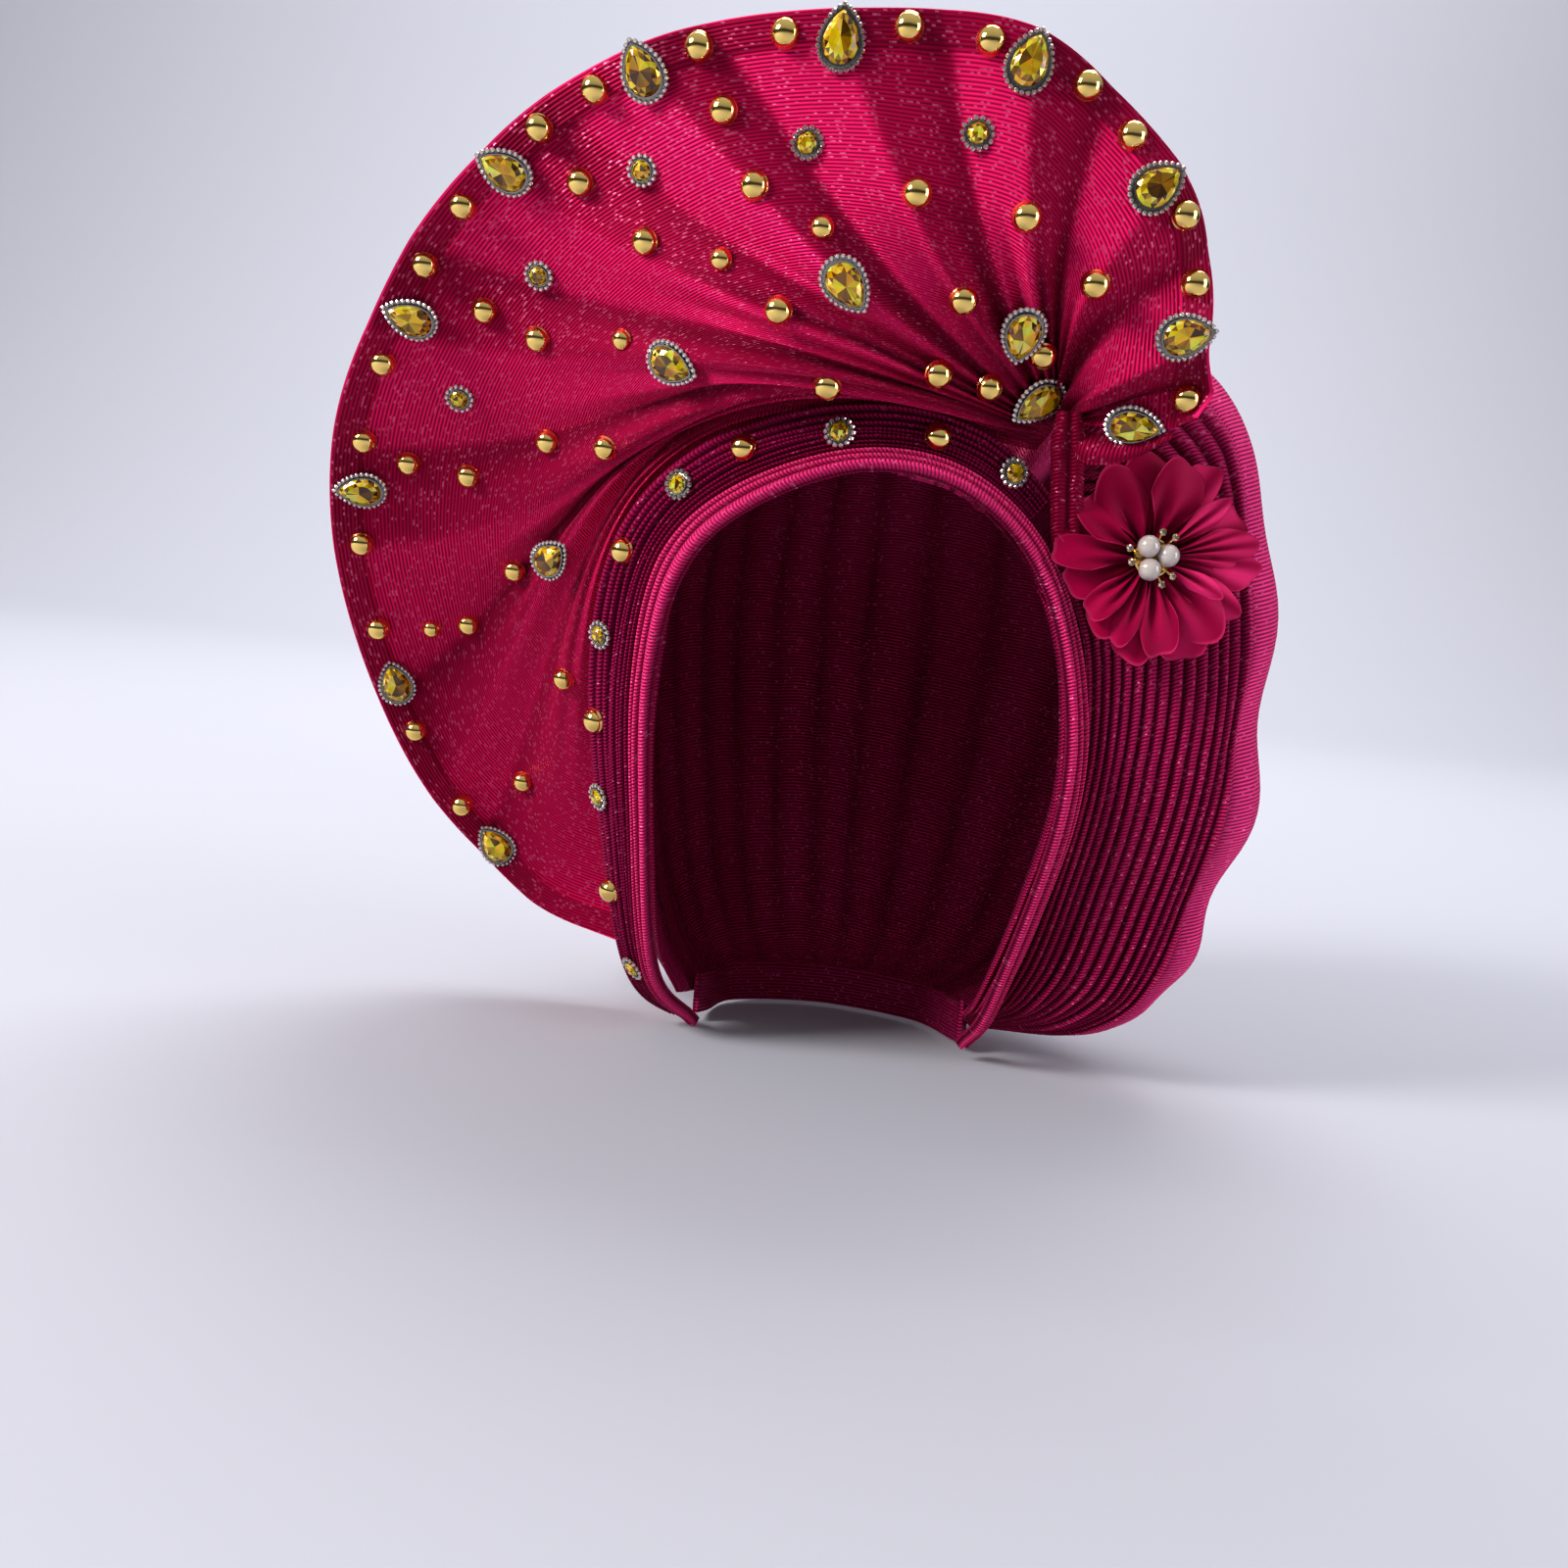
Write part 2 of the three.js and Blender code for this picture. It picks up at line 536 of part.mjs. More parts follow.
const INNER_STUDS = [
  { spoke: 4.89, out: 0.84, size: STUD },
  { spoke: 5.65, out: 0.86, size: STUD },
  { spoke: 5.72, out: 0.68, size: STUD },
  { spoke: 5.58, out: 0.55, size: SMALL_STUD },
  { spoke: 5.04, out: 0.66, size: STUD },
  { spoke: 4.89, out: 0.51, size: SMALL_STUD },
  { spoke: 4.07, out: 0.54, size: STUD },
  { spoke: 3.15, out: 0.48, size: STUD },
  { spoke: 2.2, out: 0.44, size: STUD },
  { spoke: 4.16, out: 0.27, size: STUD },
  { spoke: 5.76, out: 0.39, size: STUD },
  { spoke: 6.51, out: 0.61, size: SMALL_STUD },
  { spoke: 6.57, out: 0.77, size: STUD },
  { spoke: 6.48, out: 0.87, size: STUD },
  { spoke: 7.37, out: 0.92, size: STUD },
  { spoke: 7.47, out: 0.84, size: STUD },
  { spoke: 7.35, out: 0.72, size: STUD },
  { spoke: 7.63, out: 0.58, size: STUD },
  { spoke: 8.58, out: 0.74, size: SMALL_STUD },
  { spoke: 8.43, out: 0.9, size: SMALL_STUD },
  { spoke: 8.6, out: 0.84, size: STUD },
  { spoke: 9.72, out: 0.86, size: STUD },
  { spoke: 10.03, out: 0.66, size: STUD },
  { spoke: 7.6, out: 0.23, size: STUD },
  { spoke: 5.63, out: 0.155, size: STUD },
  { spoke: 5.06, out: 0.09, size: STUD },
  { spoke: 3.05, out: 0.12, size: STUD },
];
// On the band, along is the place on the face edge and across the share from brim to outer edge
const BAND_ROUND_STONES = [
  { along: 5.85, across: 0.35 },
  { along: 4.53, across: 0.56 },
  { along: 7.3, across: 0.56 },
  { along: 3.17, across: 0.72 },
  { along: 2, across: 0.78 },
  { along: 0.95, across: 0.35 },
];
const BAND_STUDS = [
  { along: 5.15, across: 0.55 },
  { along: 6.63, across: 0.42 },
  { along: 3.83, across: 0.7 },
  { along: 2.55, across: 0.8 },
  { along: 1.44, across: 0.8 },
];

function onFan({ spoke, out, tip = 0 }) {
  const around = [[0, 0], [0.35, 0], [-0.35, 0], [0, 0.06], [0, -0.06]];
  const normal = FACING.clone().multiplyScalar(0.5);
  for (const [u, v] of around) {
    normal.add(normalAt(fanSurface, Math.max(0.05, spoke + u), Math.min(1, Math.max(0.02, out + v)), -1));
  }
  return placeOn(fanSurface(spoke, out), normal.normalize(), tip);
}

function onBand({ along, across }) {
  const { out, face } = bandFrame(along);
  const centre = bandStart(along).addScaledVector(out, edgeValue('band', along) * across)
    .addScaledVector(face, BAND_RISE);
  return placeOn(centre, face);
}

// A loose ornament resting on the solid, and a dome sunk into it
const SINK = 1;
const DOME_REACH = 2.6;
function resting(outline, rings, frame, under, halfLength, halfWidth) {
  return ringed(outline, rings, frame, seatHeight(under, frame, halfLength, halfWidth) + GAP);
}
const sunkDome = (frame, under, size) => ringed(circle(size / 2, SIDES), sunkRings(size / 2, SINK),
  frame, seatHeight(under, frame, DOME_REACH, DOME_REACH));

const fan = fuse([fanPlain, ...INNER_STUDS.map((row) => sunkDome(onFan(row), fanPlain, row.size))]);

const teardrop = (frame, under) => resting(drop(DROP_LENGTH, DROP_WIDTH, SIDES), STONE_RINGS, frame,
  under, DROP_LENGTH / 2, DROP_WIDTH / 2);
const roundStone = (frame, under) => resting(circle(ROUND_STONE / 2, SIDES), ROUND_RINGS, frame,
  under, ROUND_STONE / 2, ROUND_STONE / 2);
const stud = (frame, under) => resting(circle(STUD / 2, SIDES), domeRings(STUD / 2), frame,
  under, STUD / 2, STUD / 2);

// Flower: two layers of petals round a hub, on the panel of the cap
const FLOWER_CENTRE = new THREE.Vector3(82, -56, -54);
const FLOWER_FACING = new THREE.Vector3(0.15, -1, 0.05).normalize();
const FLOWER_HUB = 2.5;
const FLOWER_SEAT = 7;         // the flower clears the cap within this distance of its centre
const PETAL_COLUMNS = 5;
const PETAL_WAY = [0, 0.5, 1];
const LOWER_LAYER = { petals: 8, radius: 32, base: 0.5, rise: 5, power: 1.3, cup: 1.2, turn: 0.1 };
const UPPER_LAYER = { petals: 7, radius: 27, base: 1.9, rise: 9, power: 1.1, cup: 2, turn: 0.5 };
const PETAL_LENGTHS = [1, 0.93, 1.04, 0.97, 1.02, 0.92, 1.03, 0.96];

const flowerFrame = placeOn(FLOWER_CENTRE, FLOWER_FACING);
const flowerRise = seatHeight(capPanel, flowerFrame, FLOWER_SEAT, FLOWER_SEAT) + GAP;

function petalLayer({ petals, radius, base, rise, power, cup, turn }) {
  const surface = (u, v) => {
    const angle = (2 * Math.PI * u) / petals;
    const bulge = Math.abs(Math.sin(Math.PI * u));
    const whole = ((Math.floor(u + 1e-6) % petals) + petals) % petals;
    const length = lerp(1, PETAL_LENGTHS[whole], bulge);
    const reach = radius * length * (0.6 + 0.4 * Math.sqrt(bulge));
    const r = lerp(FLOWER_HUB, reach, v);
    const height = base + rise * (r / radius) ** power + (cup * bulge * r) / radius;
    return flowerFrame.centre.clone()
      .addScaledVector(flowerFrame.along, r * Math.cos(angle + turn))
      .addScaledVector(flowerFrame.across, r * Math.sin(angle + turn))
      .addScaledVector(flowerFrame.normal, height + flowerRise);
  };
  const count = petals * PETAL_COLUMNS;
  return flatWall(surface, Array.from({ length: count }, (_, i) => i / PETAL_COLUMNS), PETAL_WAY);
}

// A closed ring of thin cloth: the wall is measured along the flower's own axis
function flatWall(surface, us, vs) {
  const position = [];
  for (const side of [0.5, -0.5]) {
    for (const u of us) {
      for (const v of vs) {
        position.push(...surface(u, v).addScaledVector(flowerFrame.normal, side * CHIFFON).toArray());
      }
    }
  }
  return gridSolid(position, us.length, vs.length, true);
}

// Brooch: pearls and small stones on wires, from a plate; angles in degrees, from, the centre out
const BROOCH_PEARLS = [130, 14, 249];
const BROOCH_STONES = [
  { angle: 81, from: 8.1 },
  { angle: 51, from: 8.7 },
  { angle: 167, from: 8.9 },
  { angle: 196, from: 7.9 },
  { angle: -40, from: 7.9 },
  { angle: -70, from: 8.5 },
];
const PEARL_RADIUS = 3.5;
const PEARL_FROM = 4.1;
const BROOCH_PLATE = { radius: 6, bottom: 5, thick: 1.2 };
const BROOCH_STONE = 2.1;
const WIRE = 0.6;
const PEARL_RINGS = [[0.6, -0.8], [1, 0], [0.82, 0.57], [0.3, 0.95]];
const SMALL_STONE_RINGS = [[0.7, -0.8], [1, 0.4], [0.5, 1.5]];

function brooch() {
  const local = (angle, from, height) => {
    const turn = THREE.MathUtils.degToRad(angle);
    return flowerFrame.centre.clone()
      .addScaledVector(flowerFrame.along, from * Math.cos(turn))
      .addScaledVector(flowerFrame.across, from * Math.sin(turn))
      .addScaledVector(flowerFrame.normal, flowerRise + height);
  };
  const at = (centre) => ({ ...flowerFrame, centre });
  const top = BROOCH_PLATE.bottom + BROOCH_PLATE.thick;
  const parts = [ringed(circle(BROOCH_PLATE.radius, SIDES), [[1, 0], [1, BROOCH_PLATE.thick]],
    at(local(0, 0, BROOCH_PLATE.bottom)), 0)];
  for (const angle of BROOCH_PEARLS) {
    const rings = PEARL_RINGS.map(([scale, height]) => [scale, height * PEARL_RADIUS]);
    parts.push(ringed(circle(PEARL_RADIUS, SIDES), rings,
      at(local(angle, PEARL_FROM, top + 0.7 * PEARL_RADIUS)), 0));
  }
  for (const { angle, from } of BROOCH_STONES) {
    const stone = local(angle, from, top + 2);
    parts.push(ringed(circle(BROOCH_STONE, 8), SMALL_STONE_RINGS, at(stone), 0));
    const foot = local(angle, BROOCH_PLATE.radius - 2, top - WIRE);
    const side = local(angle + 90, WIRE, 0).sub(local(0, 0, 0));
    const lift = flowerFrame.normal.clone().multiplyScalar(WIRE);
    const section = (p) => [[-1, -1], [1, -1], [1, 1], [-1, 1]]
      .map(([x, z]) => p.clone().addScaledVector(side, x).addScaledVector(lift, z));
    parts.push(loft([section(foot), section(stone)]));
  }
  return fuse(parts);
}

const group = new THREE.Group();
group.name = 'gele';
function add(name, geometry, material) {
  const mesh = new THREE.Mesh(geometry, material());
  mesh.name = name;
  group.add(mesh);
  return mesh;
}

const numbered = (name, i) => `${name}_${String(i + 1).padStart(2, '0')}`;

add('fan', fan, FAN_CLOTH);
add('forehead_pleats', band, BAND_CLOTH);
add('face_brim', loft(brimRings), BRIM_CLOTH);
add('cap_panel', capPanel, CAP_CLOTH);
add('cap_back', capBack, CAP_CLOTH);
add('nape_band', napeBand, CAP_CLOTH);
add('flower_petals_lower', petalLayer(LOWER_LAYER), PETAL_CLOTH);
add('flower_petals_upper', petalLayer(UPPER_LAYER), PETAL_CLOTH);
add('flower_brooch', brooch(), PEARL);
TEARDROPS.forEach((row, i) => add(numbered('teardrop_stone', i), teardrop(onFan(row), fan), AMBER));
[
  ...FAN_ROUND_STONES.map((row) => roundStone(onFan(row), fan)),
  ...BAND_ROUND_STONES.map((row) => roundStone(onBand(row), band)),
].forEach((stone, i) => add(numbered('round_stone', i), stone, AMBER));
RIM_STUDS.forEach((row, i) => add(numbered('rim_stud', i), stud(onFan(row), fan), GOLD));
BAND_STUDS.forEach((row, i) => add(numbered('band_stud', i), stud(onBand(row), band), GOLD));

export default group;
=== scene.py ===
# %% [markdown]
# # A tied gele head tie
# The real object is one long strip of stiff, ribbed, metallic-flecked cloth that is pleated, wrapped
# and glued into a ready-tied head tie: a standing fan, a band of stacked pleats over the forehead, a
# rolled brim, a pleated cap, a chiffon flower, and many glued stones and gold domes.
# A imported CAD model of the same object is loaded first. It is the frame that nothing here may move:
# every piece below is built in metres, in the same axes, in the space that its CAD solid holds.

# %% Load the frame
import math

import bpy
import numpy as np
from mathutils import Matrix, Vector


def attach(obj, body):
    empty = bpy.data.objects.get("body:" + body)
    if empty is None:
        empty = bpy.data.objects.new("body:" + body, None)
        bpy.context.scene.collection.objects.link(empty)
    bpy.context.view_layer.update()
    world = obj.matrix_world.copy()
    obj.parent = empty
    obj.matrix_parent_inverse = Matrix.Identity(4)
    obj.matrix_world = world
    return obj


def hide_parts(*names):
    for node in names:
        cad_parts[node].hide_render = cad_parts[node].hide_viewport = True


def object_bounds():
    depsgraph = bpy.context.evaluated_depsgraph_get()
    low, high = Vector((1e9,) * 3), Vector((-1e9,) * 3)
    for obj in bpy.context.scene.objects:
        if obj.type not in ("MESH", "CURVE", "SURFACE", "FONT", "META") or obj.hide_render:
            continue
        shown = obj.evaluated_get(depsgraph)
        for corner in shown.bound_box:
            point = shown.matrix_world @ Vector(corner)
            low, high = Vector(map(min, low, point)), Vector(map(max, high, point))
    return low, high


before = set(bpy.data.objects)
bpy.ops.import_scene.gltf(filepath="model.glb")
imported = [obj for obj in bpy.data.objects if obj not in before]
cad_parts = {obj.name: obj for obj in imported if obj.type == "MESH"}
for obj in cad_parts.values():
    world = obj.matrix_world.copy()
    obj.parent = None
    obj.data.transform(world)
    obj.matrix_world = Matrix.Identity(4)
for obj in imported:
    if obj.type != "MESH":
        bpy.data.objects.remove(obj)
cad_low, cad_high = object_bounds()
MM = 0.001
print("CAD box", [round(x, 4) for x in cad_low], [round(x, 4) for x in cad_high])


def put_in_scene(name, data):
    """An object at the origin that carries the data."""
    made = bpy.data.objects.new(name, data)
    bpy.context.scene.collection.objects.link(made)
    return made


# %% [markdown]
# The camera comes early, because every later choice is judged through it. It stands in front of the
# wearer's face, a little above the brow, looks down 8 degrees and is tipped 6 degrees to one side.
# A camera is an object whose -Z looks forward and whose +Y is up, so its matrix is built from those.

# %% Camera
bpy.context.scene.view_settings.view_transform = "Standard"
EYE = Vector((-0.0230, -0.5862, -0.0626))
PITCH, ROLL = math.radians(8), math.radians(6)
LENS, SENSOR, NEAREST = 38.25, 36, 0.01
forward = Vector((0, math.cos(PITCH), -math.sin(PITCH)))
level_up = Vector((0, math.sin(PITCH), math.cos(PITCH)))
right = math.cos(ROLL) * Vector((1, 0, 0)) + math.sin(ROLL) * level_up
up = math.cos(ROLL) * level_up - math.sin(ROLL) * Vector((1, 0, 0))

camera_data = bpy.data.cameras.new("camera")
camera_data.sensor_width, camera_data.lens, camera_data.clip_start = SENSOR, LENS, NEAREST
camera = put_in_scene("camera", camera_data)
camera.matrix_world = Matrix((
    (right.x, up.x, -forward.x, EYE.x),
    (right.y, up.y, -forward.y, EYE.y),
    (right.z, up.z, -forward.z, EYE.z),
    (0, 0, 0, 1),
))
bpy.context.scene.camera = camera
print("camera at", [round(x, 3) for x in EYE], "lens", camera_data.lens)

# %% [markdown]
# Shaders are graphs of nodes. Writing each node by hand takes many lines, so small helpers make a
# node, set its settings and fill its inputs, either with a value or with a link from another node.

# %% Node helpers


def fill(tree, sockets, inputs):
    for key, value in inputs.items():
        if isinstance(value, bpy.types.NodeSocket):
            tree.links.new(value, sockets[key])
        else:
            sockets[key].default_value = value


def node(tree, kind, inputs=None, **settings):
    made = tree.nodes.new(kind)
    for name, value in settings.items():
        setattr(made, name, value)
    fill(tree, made.inputs, inputs or {})
    return made


def maths(tree, operation, *values):
    return node(tree, "ShaderNodeMath", dict(enumerate(values)), operation=operation).outputs[0]


def times(tree, first, second):
    return maths(tree, "MULTIPLY", first, second)


def mix_colour(tree, share, first, second, blend="MIX"):
    inputs = {0: share, 6: first, 7: second}
    return node(tree, "ShaderNodeMix", inputs, data_type="RGBA", blend_type=blend).outputs[2]


def noise(tree, place, scale, detail=2.0):
    inputs = {"Vector": place, "Scale": scale, "Detail": detail}
    return node(tree, "ShaderNodeTexNoise", inputs).outputs[0]


def mask(tree, name):
    """A number from 0 to 1 that the mesh stores on its points or faces."""
    return node(tree, "ShaderNodeAttribute", attribute_name=name).outputs["Fac"]


def object_place(tree):
    return node(tree, "ShaderNodeTexCoord").outputs["Object"]


def cloth_uv(tree):
    return node(tree, "ShaderNodeUVMap", uv_map="cloth").outputs[0]


def colour_ramp(tree, place, stops):
    """stops are rows of position and colour."""
    made = node(tree, "ShaderNodeValToRGB", {0: place})
    elements = made.color_ramp.elements
    while len(elements) < len(stops):
        elements.new(0.5)
    for element, (position, colour) in zip(elements, stops):
        element.position = position
        element.color = (*colour, 1)
    return made.outputs[0]


def new_tree(kind, name, inputs, outputs):
    """A node tree; inputs are rows of name, socket kind and default, outputs of name and kind."""
    tree = bpy.data.node_groups.new(name, kind)
    for label, socket_kind, value in inputs:
        socket = tree.interface.new_socket(label, in_out="INPUT", socket_type=socket_kind)
        if value is not None:
            socket.default_value = value
    for label, socket_kind in outputs:
        tree.interface.new_socket(label, in_out="OUTPUT", socket_type=socket_kind)
    return tree, tree.nodes.new("NodeGroupInput").outputs, tree.nodes.new("NodeGroupOutput").inputs


# %% [markdown]
# ## The cloth
# The real cloth is a corded satin: fine ribs about a millimetre apart, with flat metallic threads
# lying in the grooves as short bright dashes. It is one effect on every cloth piece, so it is one
# node group. It reads the piece's own UV map, which is laid out in metres with the ribs along U, so
# the ribs follow every fold. It puts out a colour, a roughness, a metal mask and a height. Painted
# shade and painted light are mixed into the colour: shade in the bottom of each rib groove and by
# the fold mask, light by the edge mask.

# %% The ribbed cloth group
FLOAT, COLOUR, VECTOR = "NodeSocketFloat", "NodeSocketColor", "NodeSocketVector"
weave, w_in, w_out = new_tree(
    "ShaderNodeTree", "ribbed_cloth",
    [("UV", VECTOR, None), ("Painted_Shade", FLOAT, 0.0), ("Painted_Light", FLOAT, 0.0),
     ("Body", COLOUR, (0.4, 0.0, 0.05, 1)), ("Shade", COLOUR, (0.1, 0.0, 0.01, 1)),
     ("Light", COLOUR, (0.7, 0.05, 0.2, 1)), ("Thread", COLOUR, (0.9, 0.5, 0.6, 1)),
     ("Pitch", FLOAT, 0.0011), ("Relief", FLOAT, 0.0002), ("Glitter", FLOAT, 0.1)],
    [("Color", COLOUR), ("Roughness", FLOAT), ("Metallic", FLOAT), ("Height", FLOAT)])
RIB_WANDER, WANDER_SCALE = 0.25, 60.0           # a rib wanders by this share of the pitch
split = node(weave, "ShaderNodeSeparateXYZ", {0: w_in["UV"]})
along, across = split.outputs[0], split.outputs[1]
row = maths(weave, "ADD", maths(weave, "DIVIDE", across, w_in["Pitch"]),
            times(weave, noise(weave, w_in["UV"], WANDER_SCALE), RIB_WANDER))
wave = maths(weave, "SINE", times(weave, row, 2 * math.pi))
rib = maths(weave, "MULTIPLY_ADD", wave, 0.5, 0.5)
groove = maths(weave, "POWER", maths(weave, "SUBTRACT", 1.0, rib), 2.0)

# %% [markdown]
# The metallic dashes: the cloth is cut into cells one rib high and a little under a millimetre long,
# each cell gets a random number, and the highest few light up, in the groove only.

# %% Dashes of metal thread
DASH, THREAD_GRAIN, GRAIN_HEIGHT = 0.8 * MM, 0.35 * MM, 0.04 * MM
THREAD_SHARE = 0.45             # how far a lit dash turns to the thread's colour
GROOVE_SHADE = 0.95             # how far the bottom of a groove turns to the shade
FOLD_SHADE = 0.85
BLOTCH_SHARE, BLOTCH_SCALE = 0.3, 22.0
ROW_SHIFT = 7.0                 # cells that one row of dashes is moved by, at most
GROOVE_START = 0.3              # how deep in the groove a dash begins
SATIN_METAL, DASH_METAL = 0.35, 0.4
SATIN_ROUGHNESS, DASH_POLISH = 0.5, -0.2
row_number = maths(weave, "FLOOR", row)
shift = node(weave, "ShaderNodeTexWhiteNoise", {"W": row_number}, noise_dimensions="1D")
column = maths(weave, "FLOOR", maths(weave, "ADD", maths(weave, "DIVIDE", along, DASH),
                                     times(weave, shift.outputs[0], ROW_SHIFT)))
cell = node(weave, "ShaderNodeCombineXYZ", {0: column, 1: row_number})
chance = node(weave, "ShaderNodeTexWhiteNoise", {"Vector": cell.outputs[0]}, noise_dimensions="2D")
over = maths(weave, "SUBTRACT", chance.outputs[0], maths(weave, "SUBTRACT", 1.0, w_in["Glitter"]))
lit = node(weave, "ShaderNodeMath", {0: maths(weave, "DIVIDE", over, w_in["Glitter"]), 1: 1.0},
           operation="MULTIPLY", use_clamp=True).outputs[0]
dash = times(weave, lit, maths(weave, "GREATER_THAN", groove, GROOVE_START))
strand = node(weave, "ShaderNodeCombineXYZ", {
    0: maths(weave, "DIVIDE", along, THREAD_GRAIN), 1: maths(weave, "DIVIDE", across, DASH)})
grain = noise(weave, strand.outputs[0], 1.0, 1.0)
blotch = noise(weave, w_in["UV"], BLOTCH_SCALE, 3.0)

colour = w_in["Body"]
# Painted colour, in turn: random blotches of the lighter colour are the cloth's own tone, the fold mask
# paints shade, the edge mask paints light, each groove's bottom gets painted shade, and the dashes take the
# thread's colour.
for share, target in ((times(weave, blotch, BLOTCH_SHARE), "Light"),
                      (times(weave, w_in["Painted_Shade"], FOLD_SHADE), "Shade"), (w_in["Painted_Light"], "Light"),
                      (times(weave, groove, GROOVE_SHADE), "Shade"),
                      (times(weave, dash, THREAD_SHARE), "Thread")):
    colour = mix_colour(weave, share, colour, w_in[target])
fill(weave, w_out, {
    "Color": colour,
    "Roughness": maths(weave, "MULTIPLY_ADD", dash, DASH_POLISH, SATIN_ROUGHNESS),
    "Metallic": maths(weave, "MULTIPLY_ADD", dash, DASH_METAL, SATIN_METAL),
    "Height": maths(weave, "ADD", times(weave, rib, w_in["Relief"]), times(weave, grain, GRAIN_HEIGHT))})
print("cloth group:", len(weave.nodes), "nodes")

# %% [markdown]
# Each cloth material holds the group and its own Principled shader. Satin has a soft sheen at
# grazing angles, so the sheen is set on the shader itself. The fold mask paints shade and the edge
# mask paints light; both are attributes that the mesh code stores on the points of each piece.

# %% Cloth materials
RED_GLOSS = {"Sheen Tint": (1.0, 0.08, 0.3, 1), "Specular Tint": (1.0, 0.2, 0.42, 1)}
THREAD_COLOUR = (0.95, 0.22, 0.42, 1)


def new_material(name):
    """A material, its tree and the inputs of its Principled shader."""
    material = bpy.data.materials.new(name)
    material.use_nodes = True
    return material, material.node_tree, material.node_tree.nodes["Principled BSDF"].inputs


def cloth_material(name, body, shade, light, pitch, relief, glitter, sheen=0.05):
    material, tree, shader = new_material(name)
    group = node(tree, "ShaderNodeGroup", {
        "UV": cloth_uv(tree), "Painted_Shade": mask(tree, "fold"), "Painted_Light": mask(tree, "edge"),
        "Body": (*body, 1), "Shade": (*shade, 1), "Light": (*light, 1), "Thread": THREAD_COLOUR,
        "Pitch": pitch, "Relief": relief, "Glitter": glitter}, node_tree=weave).outputs
    bump = node(tree, "ShaderNodeBump", {"Height": group["Height"], "Distance": 1.0, "Strength": 1.0})
    fill(tree, shader, {
        "Base Color": group["Color"], "Roughness": group["Roughness"], "Metallic": group["Metallic"],
        "Normal": bump.outputs[0], "Sheen Weight": sheen, "Sheen Roughness": 0.35,
        "Specular IOR Level": 0.12, **RED_GLOSS})
    return material


# One strip of cloth, in lit and shaded copies. MAROON is the fan's painted shade and HOT_PINK its painted
# light, which also tints its random lighter blotches. The band and cap get darker copies of the colours,
# painted shade, and the brim a lighter copy, painted light.
CRIMSON, MAROON, HOT_PINK = (0.53, 0.002, 0.06), (0.14, 0.0006, 0.015), (1.0, 0.012, 0.15)
fan_cloth = cloth_material("fan_cloth", CRIMSON, MAROON, HOT_PINK, 1.25 * MM, 0.3 * MM, 0.2)
band_cloth = cloth_material("band_cloth", (0.24, 0.002, 0.045), (0.045, 0.0003, 0.008),
                            (0.4, 0.006, 0.09), 1.2 * MM, 0.28 * MM, 0.05)
brim_cloth = cloth_material("brim_cloth", (0.85, 0.025, 0.18), (0.16, 0.001, 0.025),
                            (1.0, 0.08, 0.28), 1.2 * MM, 0.35 * MM, 0.12, sheen=0.1)
cap_cloth = cloth_material("cap_cloth", (0.4, 0.004, 0.07), (0.06, 0.0005, 0.011),
                           (1.0, 0.05, 0.27), 1.3 * MM, 0.4 * MM, 0.1, sheen=0.08)
print("cloth materials:", [m.name for m in (fan_cloth, band_cloth, brim_cloth, cap_cloth)])

# %% [markdown]
# ## Curves and walls
# Every cloth piece is a surface that a few named points carry: a smooth curve runs through the
# points, and a smooth surface through several such curves. The same points stand in the CAD source,
# in millimetres, so the pieces land exactly where the frame has them.

# %% Smooth curves and surfaces
FACING = np.array([0.0, -1.0, 0.0])


def between(a, b, c, d, w):
    """The Catmull-Rom curve from b to c, at the share w of the way."""
    return (a * (-w + 2 * w**2 - w**3) + b * (2 - 5 * w**2 + 3 * w**3)
            + c * (w + 4 * w**2 - 3 * w**3) + d * (w**3 - w**2)) / 2


def through(points, u):
    """A smooth curve through the points, at the places u (an array)."""
    points = np.asarray(points, float)
    u = np.asarray(u, float)
    more = np.concatenate([[2 * points[0] - points[1]], points, [2 * points[-1] - points[-2]]])
    span = np.clip(np.floor(u).astype(int), 0, len(points) - 2)
    w = (u - span).reshape(u.shape + (1,) * (points.ndim - 1))
    return between(*(more[span + k] for k in range(4)), w)


def ramp(rows, x):
    rows = np.asarray(rows, float)
    return np.interp(x, rows[:, 0], rows[:, 1])


def soft_ramp(rows, x, width):
    """A straight-sided ramp with its corners rounded over the width."""
    offsets = np.linspace(-0.5, 0.5, 5) * width
    return sum(ramp(rows, x + offset) for offset in offsets) / len(offsets)


def masked(x):
    """Keeps a mask between 0 and 1."""
    return np.clip(x, 0, 1)


def unit(v):
    return v / np.maximum(np.linalg.norm(v, axis=-1, keepdims=True), 1e-12)


def normals_of(surface, u, v):
    step = 0.02
    along_u = surface(u + step, v) - surface(u - step, v)
    along_v = surface(u, np.minimum(v + step, 1)) - surface(u, np.maximum(v - step, 0))
    return unit(np.cross(along_v, along_u))


# %% [markdown]
# Cloth has two sides and a thickness, so each piece is a closed wall: a front grid of points, a back
# grid, and a rim that joins them. The signed volume of a closed mesh tells whether its faces point
# out, and they are all turned if it is negative.

# %% Closed walls of cloth


